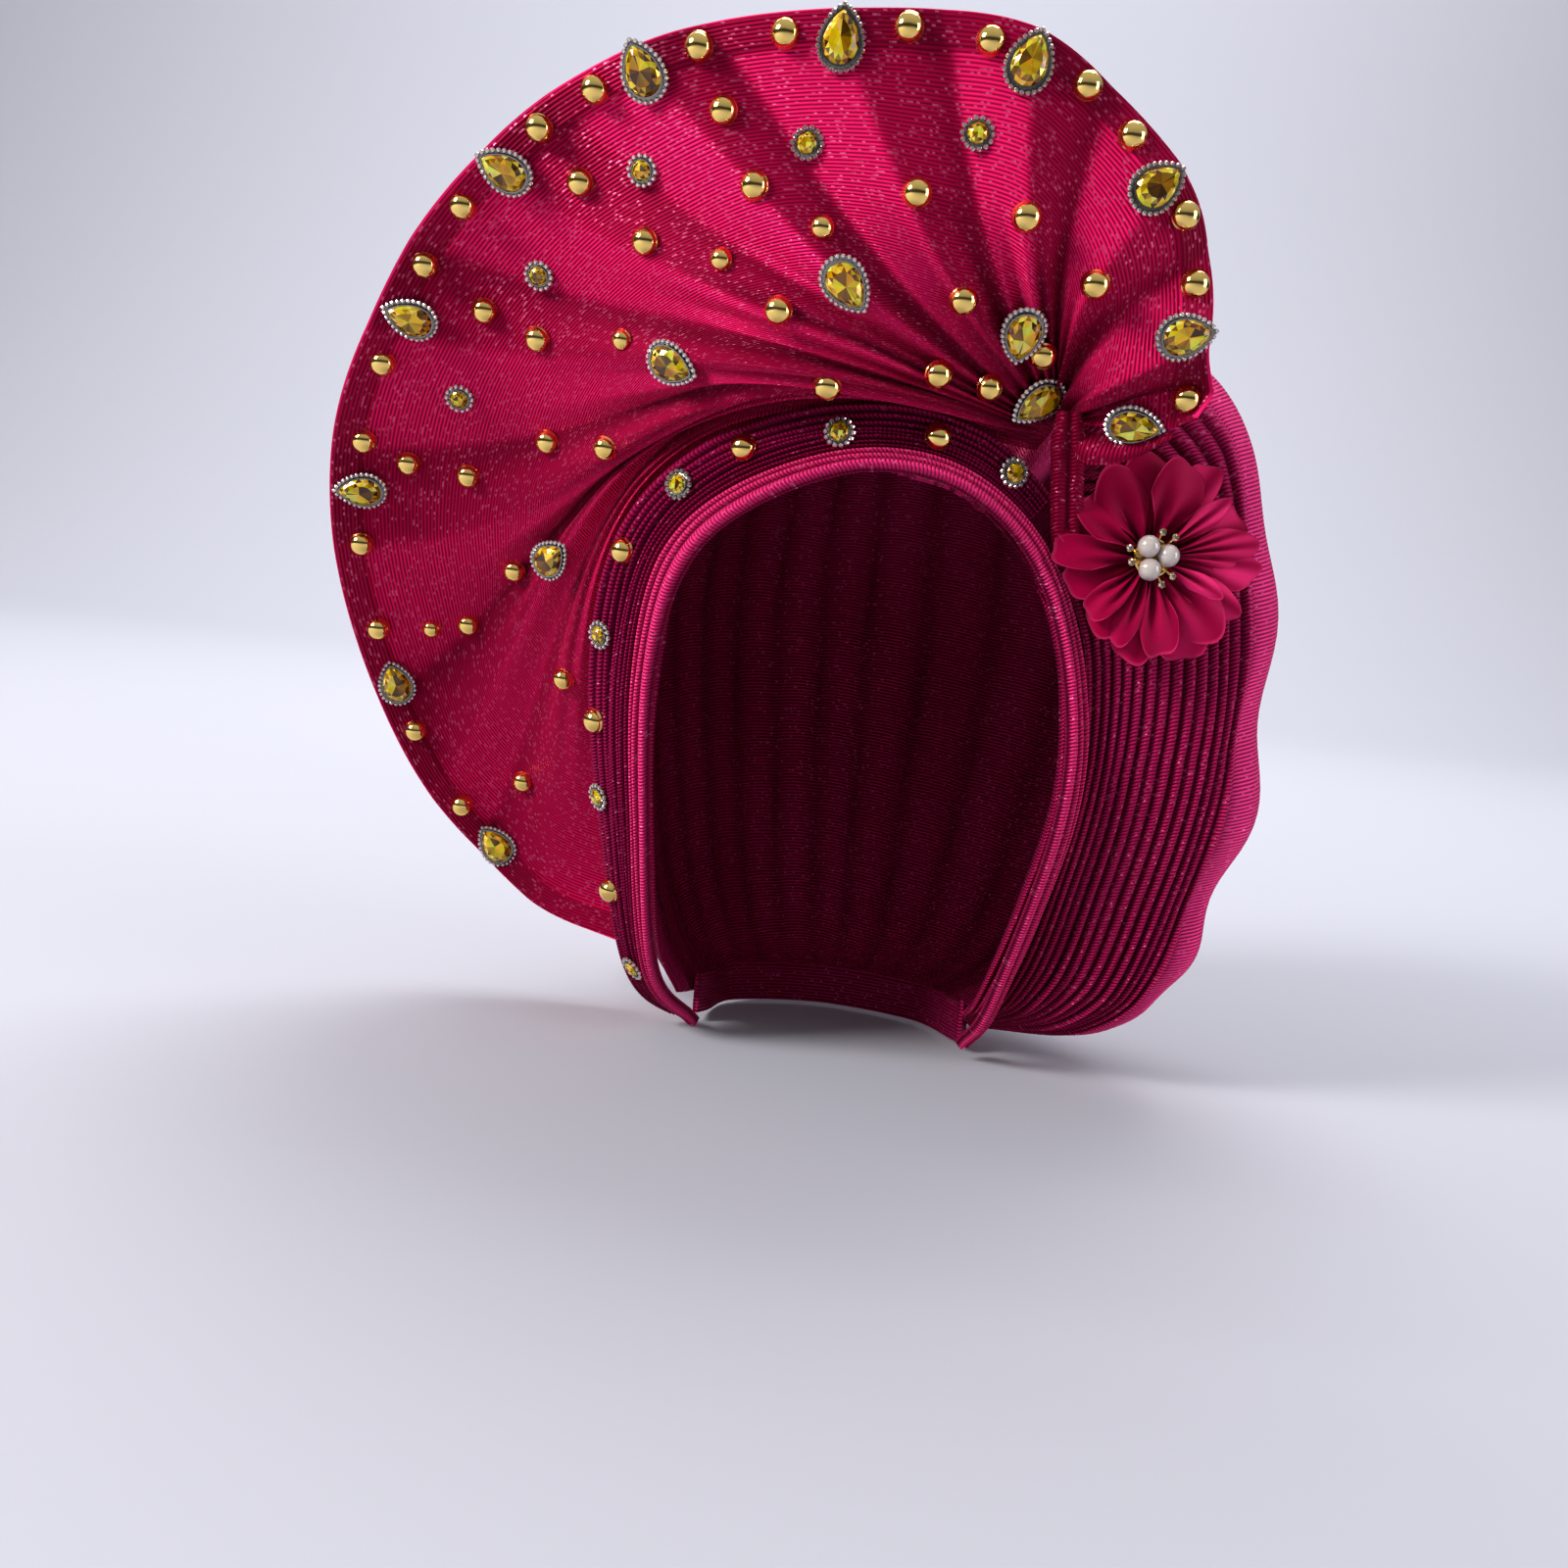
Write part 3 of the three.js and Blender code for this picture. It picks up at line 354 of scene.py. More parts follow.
def grid_faces(columns, rows):
    """Faces of a front grid and a back grid of points, joined round the edges."""
    index = np.arange(columns * rows).reshape(columns, rows)
    behind = index + columns * rows

    def strip(a, b):
        return np.stack([a[:-1], b[:-1], b[1:], a[1:]], -1).reshape(-1, 4)

    a, b, c, d = index[:-1, :-1], index[1:, :-1], index[1:, 1:], index[:-1, 1:]
    return np.concatenate([
        np.stack([a, b, c, d], -1).reshape(-1, 4),
        np.stack([a, d, c, b], -1).reshape(-1, 4) + columns * rows,
        strip(behind[:, 0], index[:, 0]), strip(index[:, -1], behind[:, -1]),
        strip(index[0], behind[0]), strip(behind[-1], index[-1])])


def outward(points, faces):
    a, b, c, d = (points[faces[:, k]] for k in range(4))
    volume = (a * np.cross(b, c)).sum() + (a * np.cross(c, d)).sum()
    return faces if volume > 0 else faces[:, ::-1]


def new_piece(name, points, faces, material=None, smooth=True, uv=None, marks=None, on="POINT", edges=()):
    """A mesh object. uv is a pair for each point; marks are named numbers or vectors."""
    mesh = bpy.data.meshes.new(name)
    mesh.from_pydata(np.asarray(points).tolist(), edges, faces)
    if uv is not None:
        corner = np.zeros(len(mesh.loops), np.int32)
        mesh.loops.foreach_get("vertex_index", corner)
        mesh.uv_layers.new(name="cloth").data.foreach_set("uv", uv[corner].astype(np.float32).ravel())
    for label, values in (marks or {}).items():
        values = np.asarray(values, np.float32)
        kind, field = ("FLOAT_VECTOR", "vector") if values.ndim == 2 else ("FLOAT", "value")
        mesh.attributes.new(label, kind, on).data.foreach_set(field, values.ravel())
    mesh.polygons.foreach_set("use_smooth", [smooth] * len(mesh.polygons))
    if material:
        mesh.materials.append(material)
        print(name, len(mesh.polygons), "faces")
    return put_in_scene(name, mesh)


def cloth_wall(name, front, back, uv, material, fold, edge):
    """fold and edge are masks from 0 to 1 over the front grid: painted shade and painted light."""
    points = np.concatenate([front.reshape(-1, 3), back.reshape(-1, 3)])
    faces = outward(points, grid_faces(*front.shape[:2])).tolist()
    both = {label: np.concatenate([mark.ravel()] * 2) for label, mark in (("fold", fold), ("edge", edge))}
    return new_piece(name, points, faces, material, True, np.concatenate([uv.reshape(-1, 2)] * 2), both)


def sheet_area(piece):
    """Area of one side of a closed wall, in square metres."""
    return sum(p.area for p in piece.data.polygons) / 2


def length_along(points, axis):
    """Running length over a grid of points along one axis."""
    steps = np.linalg.norm(np.diff(points, axis=axis), axis=-1)
    zero = np.zeros_like(np.take(steps, [0], axis=axis))
    return np.concatenate([zero, np.cumsum(steps, axis=axis)], axis=axis)


# %% [markdown]
# ## The fan
# Twelve spokes turn about the gather over the wearer's left temple, from the small wing on the left,
# over the top, to the lower edge on the right. Each spoke is a cubic through four points. Pleats
# lift the cloth along its normal: sharp ridges and valleys, deepest in the middle, softer at the hem,
# and many narrow extra folds close to the gather, where the width of the strip has nowhere to go.

# %% Fan surface
FAN_SPOKES = np.array([  # near the gather, at the knee, at the hem; in mm
    [[57, -77, -17], [67, -82, -18], [85, -92, -13]],
    [[56, -84, -11], [66, -92, -5], [86, -96, 2]],
    [[48, -90, 5], [55, -102, 20], [74, -103, 45]],
    [[37, -94, 13], [31, -106, 36], [29, -108, 82]],
    [[18, -95, 12], [1, -105, 35], [-24, -106, 85]],
    [[-1, -94, 5], [-31, -100, 25], [-86, -96, 72]],
    [[-16, -92, -5], [-61, -84, 6], [-140, -73, 34]],
    [[-25, -89, -14], [-71, -68, -17], [-179, -36, -28]],
    [[-30, -82, -13], [-79, -50, -34], [-186, 2, -89]],
    [[-38, -72, -15], [-90, -34, -46], [-163, 32, -157]],
    [[-50, -61, -22], [-93, -21, -70], [-118, 45, -205]],
    [[-61, -51, -36], [-89, -8, -94], [-73, 38, -220]],
]) * MM
FAN_ROOT = np.array([[51, -63, -12], [43, -64, -25]]) * MM
FAN_LAST = len(FAN_SPOKES) - 1
FAN_STOPS = (0.0, 0.25, 0.5, 1.0)


def fan_surface(u, v):
    u, v = np.broadcast_arrays(np.asarray(u, float), np.asarray(v, float))
    share = (u / FAN_LAST)[..., None]
    rows = through(FAN_SPOKES, u)
    carried = [FAN_ROOT[0] * (1 - share) + FAN_ROOT[1] * share] + [rows[..., k, :] for k in range(3)]
    total = 0
    for stop, point in zip(FAN_STOPS, carried):
        weight = np.ones_like(v)
        for other in FAN_STOPS:
            if other != stop:
                weight = weight * (v - other) / (stop - other)
        total = total + point * weight[..., None]
    return total


# %% Fan folds
FAN_PLEATS = [  # valley, ridge, depth in mm
    (0.62, 1.15, 9), (1.7, 2.2, 6), (2.65, 3.1, 6.5), (3.6, 4.15, 6.5), (4.7, 5.05, 6.5),
    (5.45, 5.8, 6), (6.3, 6.65, 7), (7.3, 7.8, 7), (8.65, 9.2, 8.5), (9.6, 10.05, 7.5),
]
FAN_MARKS = [(0, 0)] + [mark for valley, ridge, depth in FAN_PLEATS
                        for mark in ((valley, -depth / 2), (ridge, depth / 2))] + [(11, 0)]
FAN_DEPTH = [(0, 0), (0.12, 0.3), (0.3, 0.75), (0.5, 1), (0.8, 0.85), (1, 0.6)]
FINE_DEPTH = [(0, 0), (0.05, 0.7), (0.14, 1), (0.28, 0.75), (0.45, 0.25), (0.6, 0)]
FINE_REACH = [(0, 0.8), (5, 0.95), (7, 1.4), (8.2, 1.45), (9.6, 1.35), (11, 1.3)]
FINE_FOLDS = 2.3                # extra folds to a spoke
LOW_FOLDS = 0.15                # how fast they crowd together beside the band
FINE_HEIGHT = 2.3               # mm
FOLD_ROUNDING = 0.05            # of a spoke


def fine_wave(u):
    """The narrow folds as a saw from -1 in a valley to 1 on a ridge."""
    phase = u * FINE_FOLDS + 0.35 * np.sin(2.1 * u) + LOW_FOLDS * np.maximum(u - 7, 0) ** 2
    return 2 * np.abs(2 * (phase - np.floor(phase + 0.5))) - 1


def fine_depth(u, v):
    return ramp(FINE_DEPTH, v / ramp(FINE_REACH, u))


def fan_fold(u, v):
    """Height of the folds in metres."""
    broad = soft_ramp(FAN_MARKS, u, FOLD_ROUNDING) * soft_ramp(FAN_DEPTH, v, 0.08)
    return (broad + fine_wave(u) * FINE_HEIGHT * fine_depth(u, v)) * MM


# %% [markdown]
# The hem is the outer 10 mm of the strip, folded to the front, so the cloth is double there. The
# masks below give it painted shade, as less light comes through two layers, and a painted highlight
# on the thin line where it turns over. The grid of points therefore has rows at fixed distances from
# the hem, and the rest spread down to the gather.

# %% Fan mesh
FAN_WALL, HEM_EXTRA = 1.4 * MM, 0.9 * MM
HEM_END, HEM_STEP = 10.2 * MM, 0.4 * MM         # where the double cloth stops, and over what width
HEM_ROUND = 1.2 * MM
HEM_ROWS = np.array([0, 0.35, 0.9, 1.8, 3.5, 5.5, 7.5, 9.2, 9.8, 10.05, 10.6, 12]) * MM
fan_u = np.linspace(0, FAN_LAST, 331)
fine_v = np.linspace(0, 1, 161)
spoke_length = length_along(fan_surface(fan_u[:, None], fine_v[None, :]), 1)
full = spoke_length[:, -1]
inner = np.linspace(0, 1, 84)[1:] ** 1.05
from_hem = np.concatenate([np.repeat(HEM_ROWS[None], len(fan_u), 0),
                           HEM_ROWS[-1] + inner[None] * (full[:, None] - HEM_ROWS[-1])], axis=1)
fan_v = np.stack([np.interp(length - rows, table, fine_v)
                  for length, rows, table in zip(full, from_hem, spoke_length)])
fan_uu = np.repeat(fan_u[:, None], fan_v.shape[1], 1)
fan_mid = fan_surface(fan_uu, fan_v)
fan_normal = normals_of(fan_surface, fan_uu, fan_v)
fan_height = fan_fold(fan_uu, fan_v)
round_over = np.sqrt(np.clip(1 - (1 - np.minimum(from_hem / HEM_ROUND, 1)) ** 2, 0.02, 1))
in_hem = masked((HEM_END - from_hem) / HEM_STEP)
fan_front_height = fan_height + (FAN_WALL / 2 + HEM_EXTRA * in_hem) * round_over
fan_front = fan_mid + fan_normal * fan_front_height[..., None]
fan_back = fan_mid + fan_normal * (fan_height - FAN_WALL / 2 * round_over)[..., None]
fan_along = length_along(fan_surface(fan_u[:, None], np.array([[0.75]])), 0)[:, :1]
fan_uv = np.stack([np.repeat(fan_along, fan_v.shape[1], 1), from_hem], -1)

# %% [markdown]
# The masks paint shade into the cloth in its valleys, near the gather, on the hem and on the sides
# of the folds that turn away from the key lamp. They paint a highlight on the turned edge and light
# on the sides that face the lamp.

# %% Fan masks
DEEP = 3.5 * MM                 # a valley of this depth is fully shaded
GATHER_REACH = 0.07
STEEP_AWAY, STEEP_LIGHT = 16, 13                # rise in mm to a spoke that counts as steep
EDGE_LINE = 0.8 * MM
# Weights of the painted shade, then of the painted light:
IN_VALLEY, AT_GATHER, ON_HEM, TURNED_AWAY, IN_FINE_FOLD = 0.4, 0.22, 0.52, 0.5, 0.7
ON_EDGE, TURNED_TO_LIGHT = 0.9, 0.85
slope =np.gradient(soft_ramp(FAN_MARKS, fan_u, FOLD_ROUNDING), fan_u)[:, None] + 0 * fan_v
near_gather = masked(1 - (full[:, None] - from_hem) / GATHER_REACH)
fine_deep = masked(0.3 - fine_wave(fan_uu)) * fine_depth(fan_uu, fan_v)
fan_shade = masked(IN_VALLEY * masked(-fan_height / DEEP) + AT_GATHER * near_gather + ON_HEM * in_hem
                   + TURNED_AWAY * masked(slope / STEEP_AWAY) + IN_FINE_FOLD * fine_deep)
lit_side = masked(-slope / STEEP_LIGHT) * (1 - in_hem) * (1 - near_gather)
fan_light = masked(ON_EDGE * masked(1 - from_hem / EDGE_LINE) + TURNED_TO_LIGHT * lit_side)
fan = cloth_wall("pleated_fan", fan_front, fan_back, fan_uv, fan_cloth, fan_shade, fan_light)

# %% [markdown]
# ## The face edge: brim and band
# One curve runs round the face opening, from the right jaw over the brow to the left jaw. The brim
# is a roll of three ridges on that curve. The band is a stack of eight pleats outside it. Both are
# strips with a pleated face and a flat back, so one function lays either along the curve.

# %% Face edge
FACE_EDGE = np.array([[-47, 17, -238], [-62, -12, -213], [-69, -35, -155], [-71, -47, -108],
                      [-64, -60, -71], [-44, -70, -49], [-10, -78, -35], [22, -75, -38],
                      [49, -63, -59], [65, -53, -96], [69, -43, -142], [58, -9, -213],
                      [51, 9, -234]]) * MM
BRIM_WIDTH = np.array([4, 5.5, 6.5, 8, 10, 9, 6.5, 6.5, 7, 7, 7.5, 5.5, 4]) * MM
BRIM_LEAN = [40, 40, 35, 35, 32, 32, 32, 32, 32, 32, 35, 40, 40]
BAND_WIDTH = np.array([5, 13, 20, 21, 18, 17, 14, 13, 9, 6, 6, 6, 6]) * MM
BAND_LEAN = [50, 50, 48, 40, 26, 18, 14, 12, 10, 10, 10, 10, 10]
EDGE_LAST = len(FACE_EDGE) - 1
BAND_RISE, BAND_CLEARANCE = 3.7 * MM, 0.7 * MM


def edge_value(values, u):
    return np.interp(u, np.arange(len(values)), values)


def edge_frame(u, leans):
    """Outward and facing directions of a strip that leans back."""
    step = 0.05
    tangent = unit(through(FACE_EDGE, u + step) - through(FACE_EDGE, u - step))
    out = unit(np.cross(FACING, tangent))
    face = unit(np.cross(tangent, out))
    lean = np.radians(edge_value(leans, u))[..., None]
    return out * np.cos(lean) - face * np.sin(lean), face * np.cos(lean) + out * np.sin(lean)


def band_start(u):
    out, face = edge_frame(u, BRIM_LEAN)
    turned = np.radians(edge_value(BRIM_LEAN, u) - edge_value(BAND_LEAN, u))
    clear = BAND_CLEARANCE + BAND_RISE * np.maximum(0, np.sin(turned))
    return (through(FACE_EDGE, u) + out * (edge_value(BRIM_WIDTH, u) / 2 + clear)[..., None]
            - face * MM)


def brim_start(u):
    out, _ = edge_frame(u, BRIM_LEAN)
    return through(FACE_EDGE, u) - out * (edge_value(BRIM_WIDTH, u) / 2)[..., None]


# %% Pleated strips
RIB_BOW = 0.9 * MM              # a rib bows over each narrow pleat, as on a rope
PLEAT_STEPS = 9                 # points across a pleat
OPENED_OUT = 1.6                # cloth in a pleat against its width
EDGE_HEIGHT = 0.6               # of the strip's own height


def pleated_strip(name, start, widths, leans, ends, stations, pleats, base, depth, material, wave):
    """pleats are the relative widths of the pleats from the inner edge out."""
    u = np.linspace(*ends, stations)
    out, face = edge_frame(u, leans)
    marks = np.concatenate([[0], np.cumsum(pleats)]) / sum(pleats)
    x = [np.linspace(low, high, PLEAT_STEPS, endpoint=False) for low, high in zip(marks[:-1], marks[1:])]
    lobe = [np.linspace(0, 1, PLEAT_STEPS, endpoint=False)] * len(pleats)
    x, lobe = np.concatenate(x + [[1.0]]), np.concatenate(lobe + [[0.0]])
    number = np.searchsorted(marks[1:-1], x, side="right")
    drift = wave * np.sin(1.9 * u[:, None] + 1.3 * number[None]) * np.sin(np.pi * x)[None]
    swell = 1 + 0.18 * np.sin(2.3 * u[:, None] + 2.7 * number[None])
    crown = np.sin(np.pi * lobe)[None] ** 0.55
    height = base + depth * crown * swell
    height[:, [0, -1]] *= EDGE_HEIGHT
    width = edge_value(widths, u)
    origin = start(u)
    front = (origin[:, None] + out[:, None] * ((x[None] + drift) * width[:, None])[..., None]
             + face[:, None] * height[..., None])
    back = origin[:, None] + out[:, None] * (x[None] * width[:, None])[..., None] + 0 * front
    run = length_along(through(FACE_EDGE, u)[:, None], 0)
    uv = np.stack([x[None] * width[:, None] * OPENED_OUT, run + RIB_BOW * crown + 0 * height], -1)
    # Painted shade in the valleys between the pleats; no painted light.
    fold = masked(1 - crown * 1.15) + 0 * height
    return cloth_wall(name, front, back, uv, material, fold, 0 * height), front, float(run[-1, 0])


BAND_ENDS = (0.15, 7.65)        # places on the face edge
BAND_PLEATS, BRIM_PLEATS = [0.8, 0.75, 0.8, 0.85, 0.95, 1.05, 1.4, 1.6], [1.6, 1, 0.8]
band, band_front, band_length = pleated_strip(
    "stacked_pleats", band_start, BAND_WIDTH, BAND_LEAN, BAND_ENDS, 330,
    BAND_PLEATS, 1.9 * MM, 2.0 * MM, band_cloth, 0.03)
brim, _, brim_length = pleated_strip(
    "rolled_brim", brim_start, BRIM_WIDTH, BRIM_LEAN, (0, EDGE_LAST), 420,
    BRIM_PLEATS, 2.2 * MM, 1.7 * MM, brim_cloth, 0.02)
print("band", round(band_length, 3), "m, brim", round(brim_length, 3), "m long")

# %% [markdown]
# ## The cap
# Meridians run from behind the brim, over the head, down to the nape line. The panel beside the left
# cheek is laid in narrow knife pleats that meet at the jaw; the back has broader folds. The ribs of
# the cloth cross the pleats, so V is the length along each meridian, measured from its middle.

# %% Cap surface
CAP_SIDES = {"left": [8.25, 8.6, 9.1, 9.9, 10.5, 11.1, 11.7],
             "right": [4.3, 3.9, 3.4, 2.6, 1.8, 1.15, 0.45]}
CAP_MERIDIANS = [  # place on the face edge, then crest, shoulder, waist, lower, under and nape in mm
    (8.05, [[60, -60, -47], [78, -52, -78], [85, -43, -125], [80, -22, -180], [70, -8, -212],
            [54, 14, -228]]),
    (7.8, [[66, -58, -20], [99, -50, -50], [115, -43, -114], [107, -21, -187], [89, -6, -218],
           [55, 17, -230]]),
    (7.55, [[76, -48, 7], [115, -39, -16], [134, -32, -108], [125, -14, -187], [101, -2, -221],
            [56, 20, -231]]),
    (7.3, [[66, -20, 13], [108, 2, -12], [131, 10, -105], [115, 24, -188], [92, 32, -221],
           [53, 32, -232]]),
    (6.9, [[46, -8, 13], [84, 46, -12], [106, 68, -92], [86, 72, -180], [66, 68, -216],
           [38, 54, -232]]),
    (6, [[2, -28, 1], [2, 62, 0], [0, 114, -80], [0, 102, -170], [0, 86, -212], [0, 66, -232]]),
    (5.2, [[-31, -18, -1], [-54, 46, -16], [-72, 84, -86], [-62, 80, -172], [-50, 70, -212],
           [-36, 56, -232]]),
    (4.7, [[-52, -30, -25], [-76, 0, -52], [-83, 26, -106], [-73, 32, -174], [-62, 32, -212],
           [-47, 35, -232]]),
]
CAP_CLOTH = 2.4 * MM            # thickness of the CAD solid's wall
BRIM_SEAT = [(6, 1.6), (7, 5)]  # mm behind the brim, by the place on the face edge


def behind_brim(u):
    u = np.asarray(u, float)
    _, face = edge_frame(u, BRIM_LEAN)
    seat_depth = CAP_CLOTH / 2 + ramp(BRIM_SEAT, u) * MM
    return through(FACE_EDGE, u) - face * seat_depth[..., None]


cap_lines = np.array(
    [behind_brim(CAP_SIDES["left"])]
    + [np.concatenate([behind_brim([edge]), np.array(points) * MM]) for edge, points in CAP_MERIDIANS]
    + [behind_brim(CAP_SIDES["right"])])
CAP_SPANS = len(cap_lines) - 1


def cap_surface(u, v):
    u, v = np.broadcast_arrays(np.asarray(u, float), np.asarray(v, float))
    lines = through(cap_lines, u.ravel())
    stops = lines.shape[1] - 1
    before, beyond = 2 * lines[:, :1] - lines[:, 1:2], 2 * lines[:, -1:] - lines[:, -2:-1]
    more = np.concatenate([before, lines, beyond], 1)
    x = masked(v.ravel()) * stops
    span = np.clip(np.floor(x).astype(int), 0, stops - 1)
    take = np.arange(len(span))
    found = between(*(more[take, span + k] for k in range(4)), (x - span)[:, None])
    return found.reshape(u.shape + (3,))


# %% Cap folds
PANEL_END, FACE_END = 2.5, 3.3  # spans from the left edge: the pleated panel, then the plain face
PANEL_PLEATS, BACK_FOLDS, FINE_PER_FOLD = 18, 8, 3
PANEL_RISE, BACK_RISE, FINE_RISE = 2.6, 1.7, 1.6                # mm
CROWN_MEAN = 0.6                # so that pleats rise and sink about the surface
UNEVEN, DEEPER = 0.25, 0.8      # how pleats vary, and how much deeper every fifth gets low down
FACE_SWAY, FACE_WAVES, FACE_NOTCH = 2.8, 8, 0.49
FACE_REACH = [(0.36, 0), (0.43, 1), (0.63, 1), (0.7, 0.4), (0.8, 0)]
FACE_WIDENS = [(0.3, 0.25), (0.42, 0), (0.5, -0.13), (0.62, -0.13), (0.75, 0)]
CAP_DEPTH = [(0, 0.1), (0.2, 0.8), (0.5, 1), (0.8, 0.8), (1, 0.1)]
PANEL_DEPTH = [(0, 0.1), (0.12, 0.7), (0.3, 1), (0.6, 1.1), (0.78, 1.5), (0.9, 1), (1, 0.15)]


def pleat_crown(place):
    """Rounded pleats, 0 in each valley and 1 on each crown."""
    return np.sin(np.pi * (place - np.floor(place))) ** 0.6


def cap_fold(u, v):
    """Height of the folds in metres, and how deep in a fold each point lies, from 0 to 1."""
    pleat = u * PANEL_PLEATS / PANEL_END
    number = np.floor(pleat)
    crown = pleat_crown(pleat)
    some_deeper = DEEPER * (number % 5 == 3) * masked(v * 3 - 1.4)
    uneven = 1 + UNEVEN * np.sin(2.1 * number + 5 * v) + some_deeper
    panel = (crown - CROWN_MEAN) * PANEL_RISE * uneven * soft_ramp(PANEL_DEPTH, v, 0.1)
    sway = np.cos(FACE_WAVES * 2 * np.pi * (v - FACE_NOTCH)) * soft_ramp(FACE_REACH, v, 0.05)
    place = (u - FACE_END) * BACK_FOLDS / (CAP_SPANS - FACE_END)
    fine_crown = pleat_crown(place * FINE_PER_FOLD + 0.25 * np.sin(4 * v + place))
    broad = -np.cos(2 * np.pi * place) * BACK_RISE
    back = (broad + (fine_crown - CROWN_MEAN) * FINE_RISE) * soft_ramp(CAP_DEPTH, v, 0.1)
    on_face = masked((u - PANEL_END + 0.25) / 0.3) * masked((FACE_END + 0.25 - u) / 0.25)
    in_panel, in_back = u < PANEL_END, u > FACE_END
    height = np.where(in_panel, panel, np.where(in_back, back, 0)) - on_face * FACE_SWAY * sway
    deep = np.where(in_panel, (1 - crown) * uneven, np.where(in_back, 0.7 * (1 - fine_crown), 0))
    return height * MM, masked(deep * 1.2)


# %% [markdown]
# The plain face on the outer side is narrow at the top and widens lower down, so the columns of
# points are pushed along the surface there, while the folds keep their own count.

# %% Cap mesh
CAP_WALL = 1.3 * MM
# Painted light on the plain face on the right, for the lamp on that side: how strong, where it rises and
# where it falls off.
FACE_PAINTED_LIGHT = 0.95                # how light the plain face is
GLOW_RISE, GLOW_END, GLOW_FALL = 0.12, 3.5, 0.7
panel_u = np.linspace(0, PANEL_END, PANEL_PLEATS * 8 + 1)
face_u = np.linspace(PANEL_END, FACE_END, 14)[1:]
back_u = np.linspace(FACE_END, CAP_SPANS, BACK_FOLDS * FINE_PER_FOLD * 7 + 1)[1:]
cap_u = np.concatenate([panel_u, face_u, back_u])[:, None]
cap_v = np.linspace(0, 1, 121)[None]
cap_uu, cap_vv = np.broadcast_arrays(cap_u, cap_v)
cap_place = cap_uu + ramp(FACE_WIDENS, cap_vv) * ramp([(0, 0), (PANEL_END, 1), (FACE_END, 0)], cap_uu)
cap_mid = cap_surface(cap_place, cap_vv)
cap_normal = normals_of(cap_surface, cap_place, cap_vv)
cap_height, cap_deep = cap_fold(cap_uu, cap_vv)
cap_front, cap_back = (cap_mid + cap_normal * (cap_height + half)[..., None]
                       for half in (CAP_WALL / 2, -CAP_WALL / 2))
cap_down = length_along(cap_mid, 1)
cap_down = cap_down - cap_down[:, 60:61]
cap_round = length_along(cap_surface(cap_u, np.array([[0.5]])), 0)[:, :1]
cap_uv = np.stack([np.repeat(cap_round, cap_v.shape[1], 1), cap_down - RIB_BOW * cap_deep], -1)
# Painted shade in the pleat valleys, fading where the folds flatten, and painted light on the plain face.
on_right_face = masked((cap_uu - PANEL_END + 0.1) / GLOW_RISE) * masked((GLOW_END - cap_uu) / GLOW_FALL)
cap = cloth_wall("pleated_cap", cap_front, cap_back, cap_uv, cap_cloth,
                 cap_deep * masked(ramp(CAP_DEPTH, cap_vv) * 1.2), FACE_PAINTED_LIGHT * on_right_face)

# %% Nape band
NAPE_RISE, NAPE_DROP, NAPE_DEPTH, NAPE_SEAT = 7 * MM, 8 * MM, 2.2 * MM, 0.7 * MM
NAPE_EASE = 0.5 * MM            # how far its upper and lower edges are rounded off
NAPE_SHADE = 0.4
nape_u = np.linspace(0.8, 8.45, 160)
nape_line, nape_next, nape_last = (cap_surface(nape_u + step, np.ones_like(nape_u))
                                   for step in (0, 0.1, -0.1))
nape_step = nape_next - nape_last
nape_out = unit(np.stack([nape_step[:, 1], -nape_step[:, 0], 0 * nape_step[:, 0]], -1))
nape_rows = np.linspace(-1, 1, 13)
nape_height = np.where(nape_rows < 0, nape_rows * NAPE_DROP, nape_rows * NAPE_RISE)
ease = NAPE_EASE * nape_rows**6


def nape_face(inset):
    return (nape_line[:, None] - nape_out[:, None] * (CAP_CLOTH / 2 + NAPE_SEAT + inset)[None, :, None]
            + np.array([0, 0, 1]) * nape_height[None, :, None])


nape_run = length_along(nape_line[:, None], 0)
nape_uv = np.stack([nape_run + 0 * nape_height[None], nape_height[None] + 0 * nape_run], -1)
nape_zero = 0 * nape_uv[..., 0]
nape = cloth_wall("nape_strip", nape_face(ease), nape_face(NAPE_DEPTH - ease), nape_uv, cap_cloth,
                  NAPE_SHADE + nape_zero, nape_zero)

# %% [markdown]
# ## The tucked end
# Under the gather the last of the strip is twisted down beside the brim as two rope-like folds, and
# the corner of the fan's hem is turned under as a small flap. Each is a patch between two edges, laid
# out in millimetres, with rounded folds that run along it.

# %% Tucked folds and flap
FOLD_LEFT = [[46, -81, -14], [46, -77, -23], [48, -71, -34], [50, -66.5, -45], [53, -61, -60]]
FOLD_RIGHT = [[53, -82, -14], [56, -77, -22], [58, -71, -33], [60, -66, -44], [62, -60, -59]]
FLAP_TOP = [[50, -74, -15], [58, -78, -19], [68, -81, -20], [80, -86, -17]]
FLAP_LOW = [[51, -76, -22], [55.5, -79, -28], [67, -81, -27], [79, -86, -20]]
PATCH_WALL = 1.3 * MM


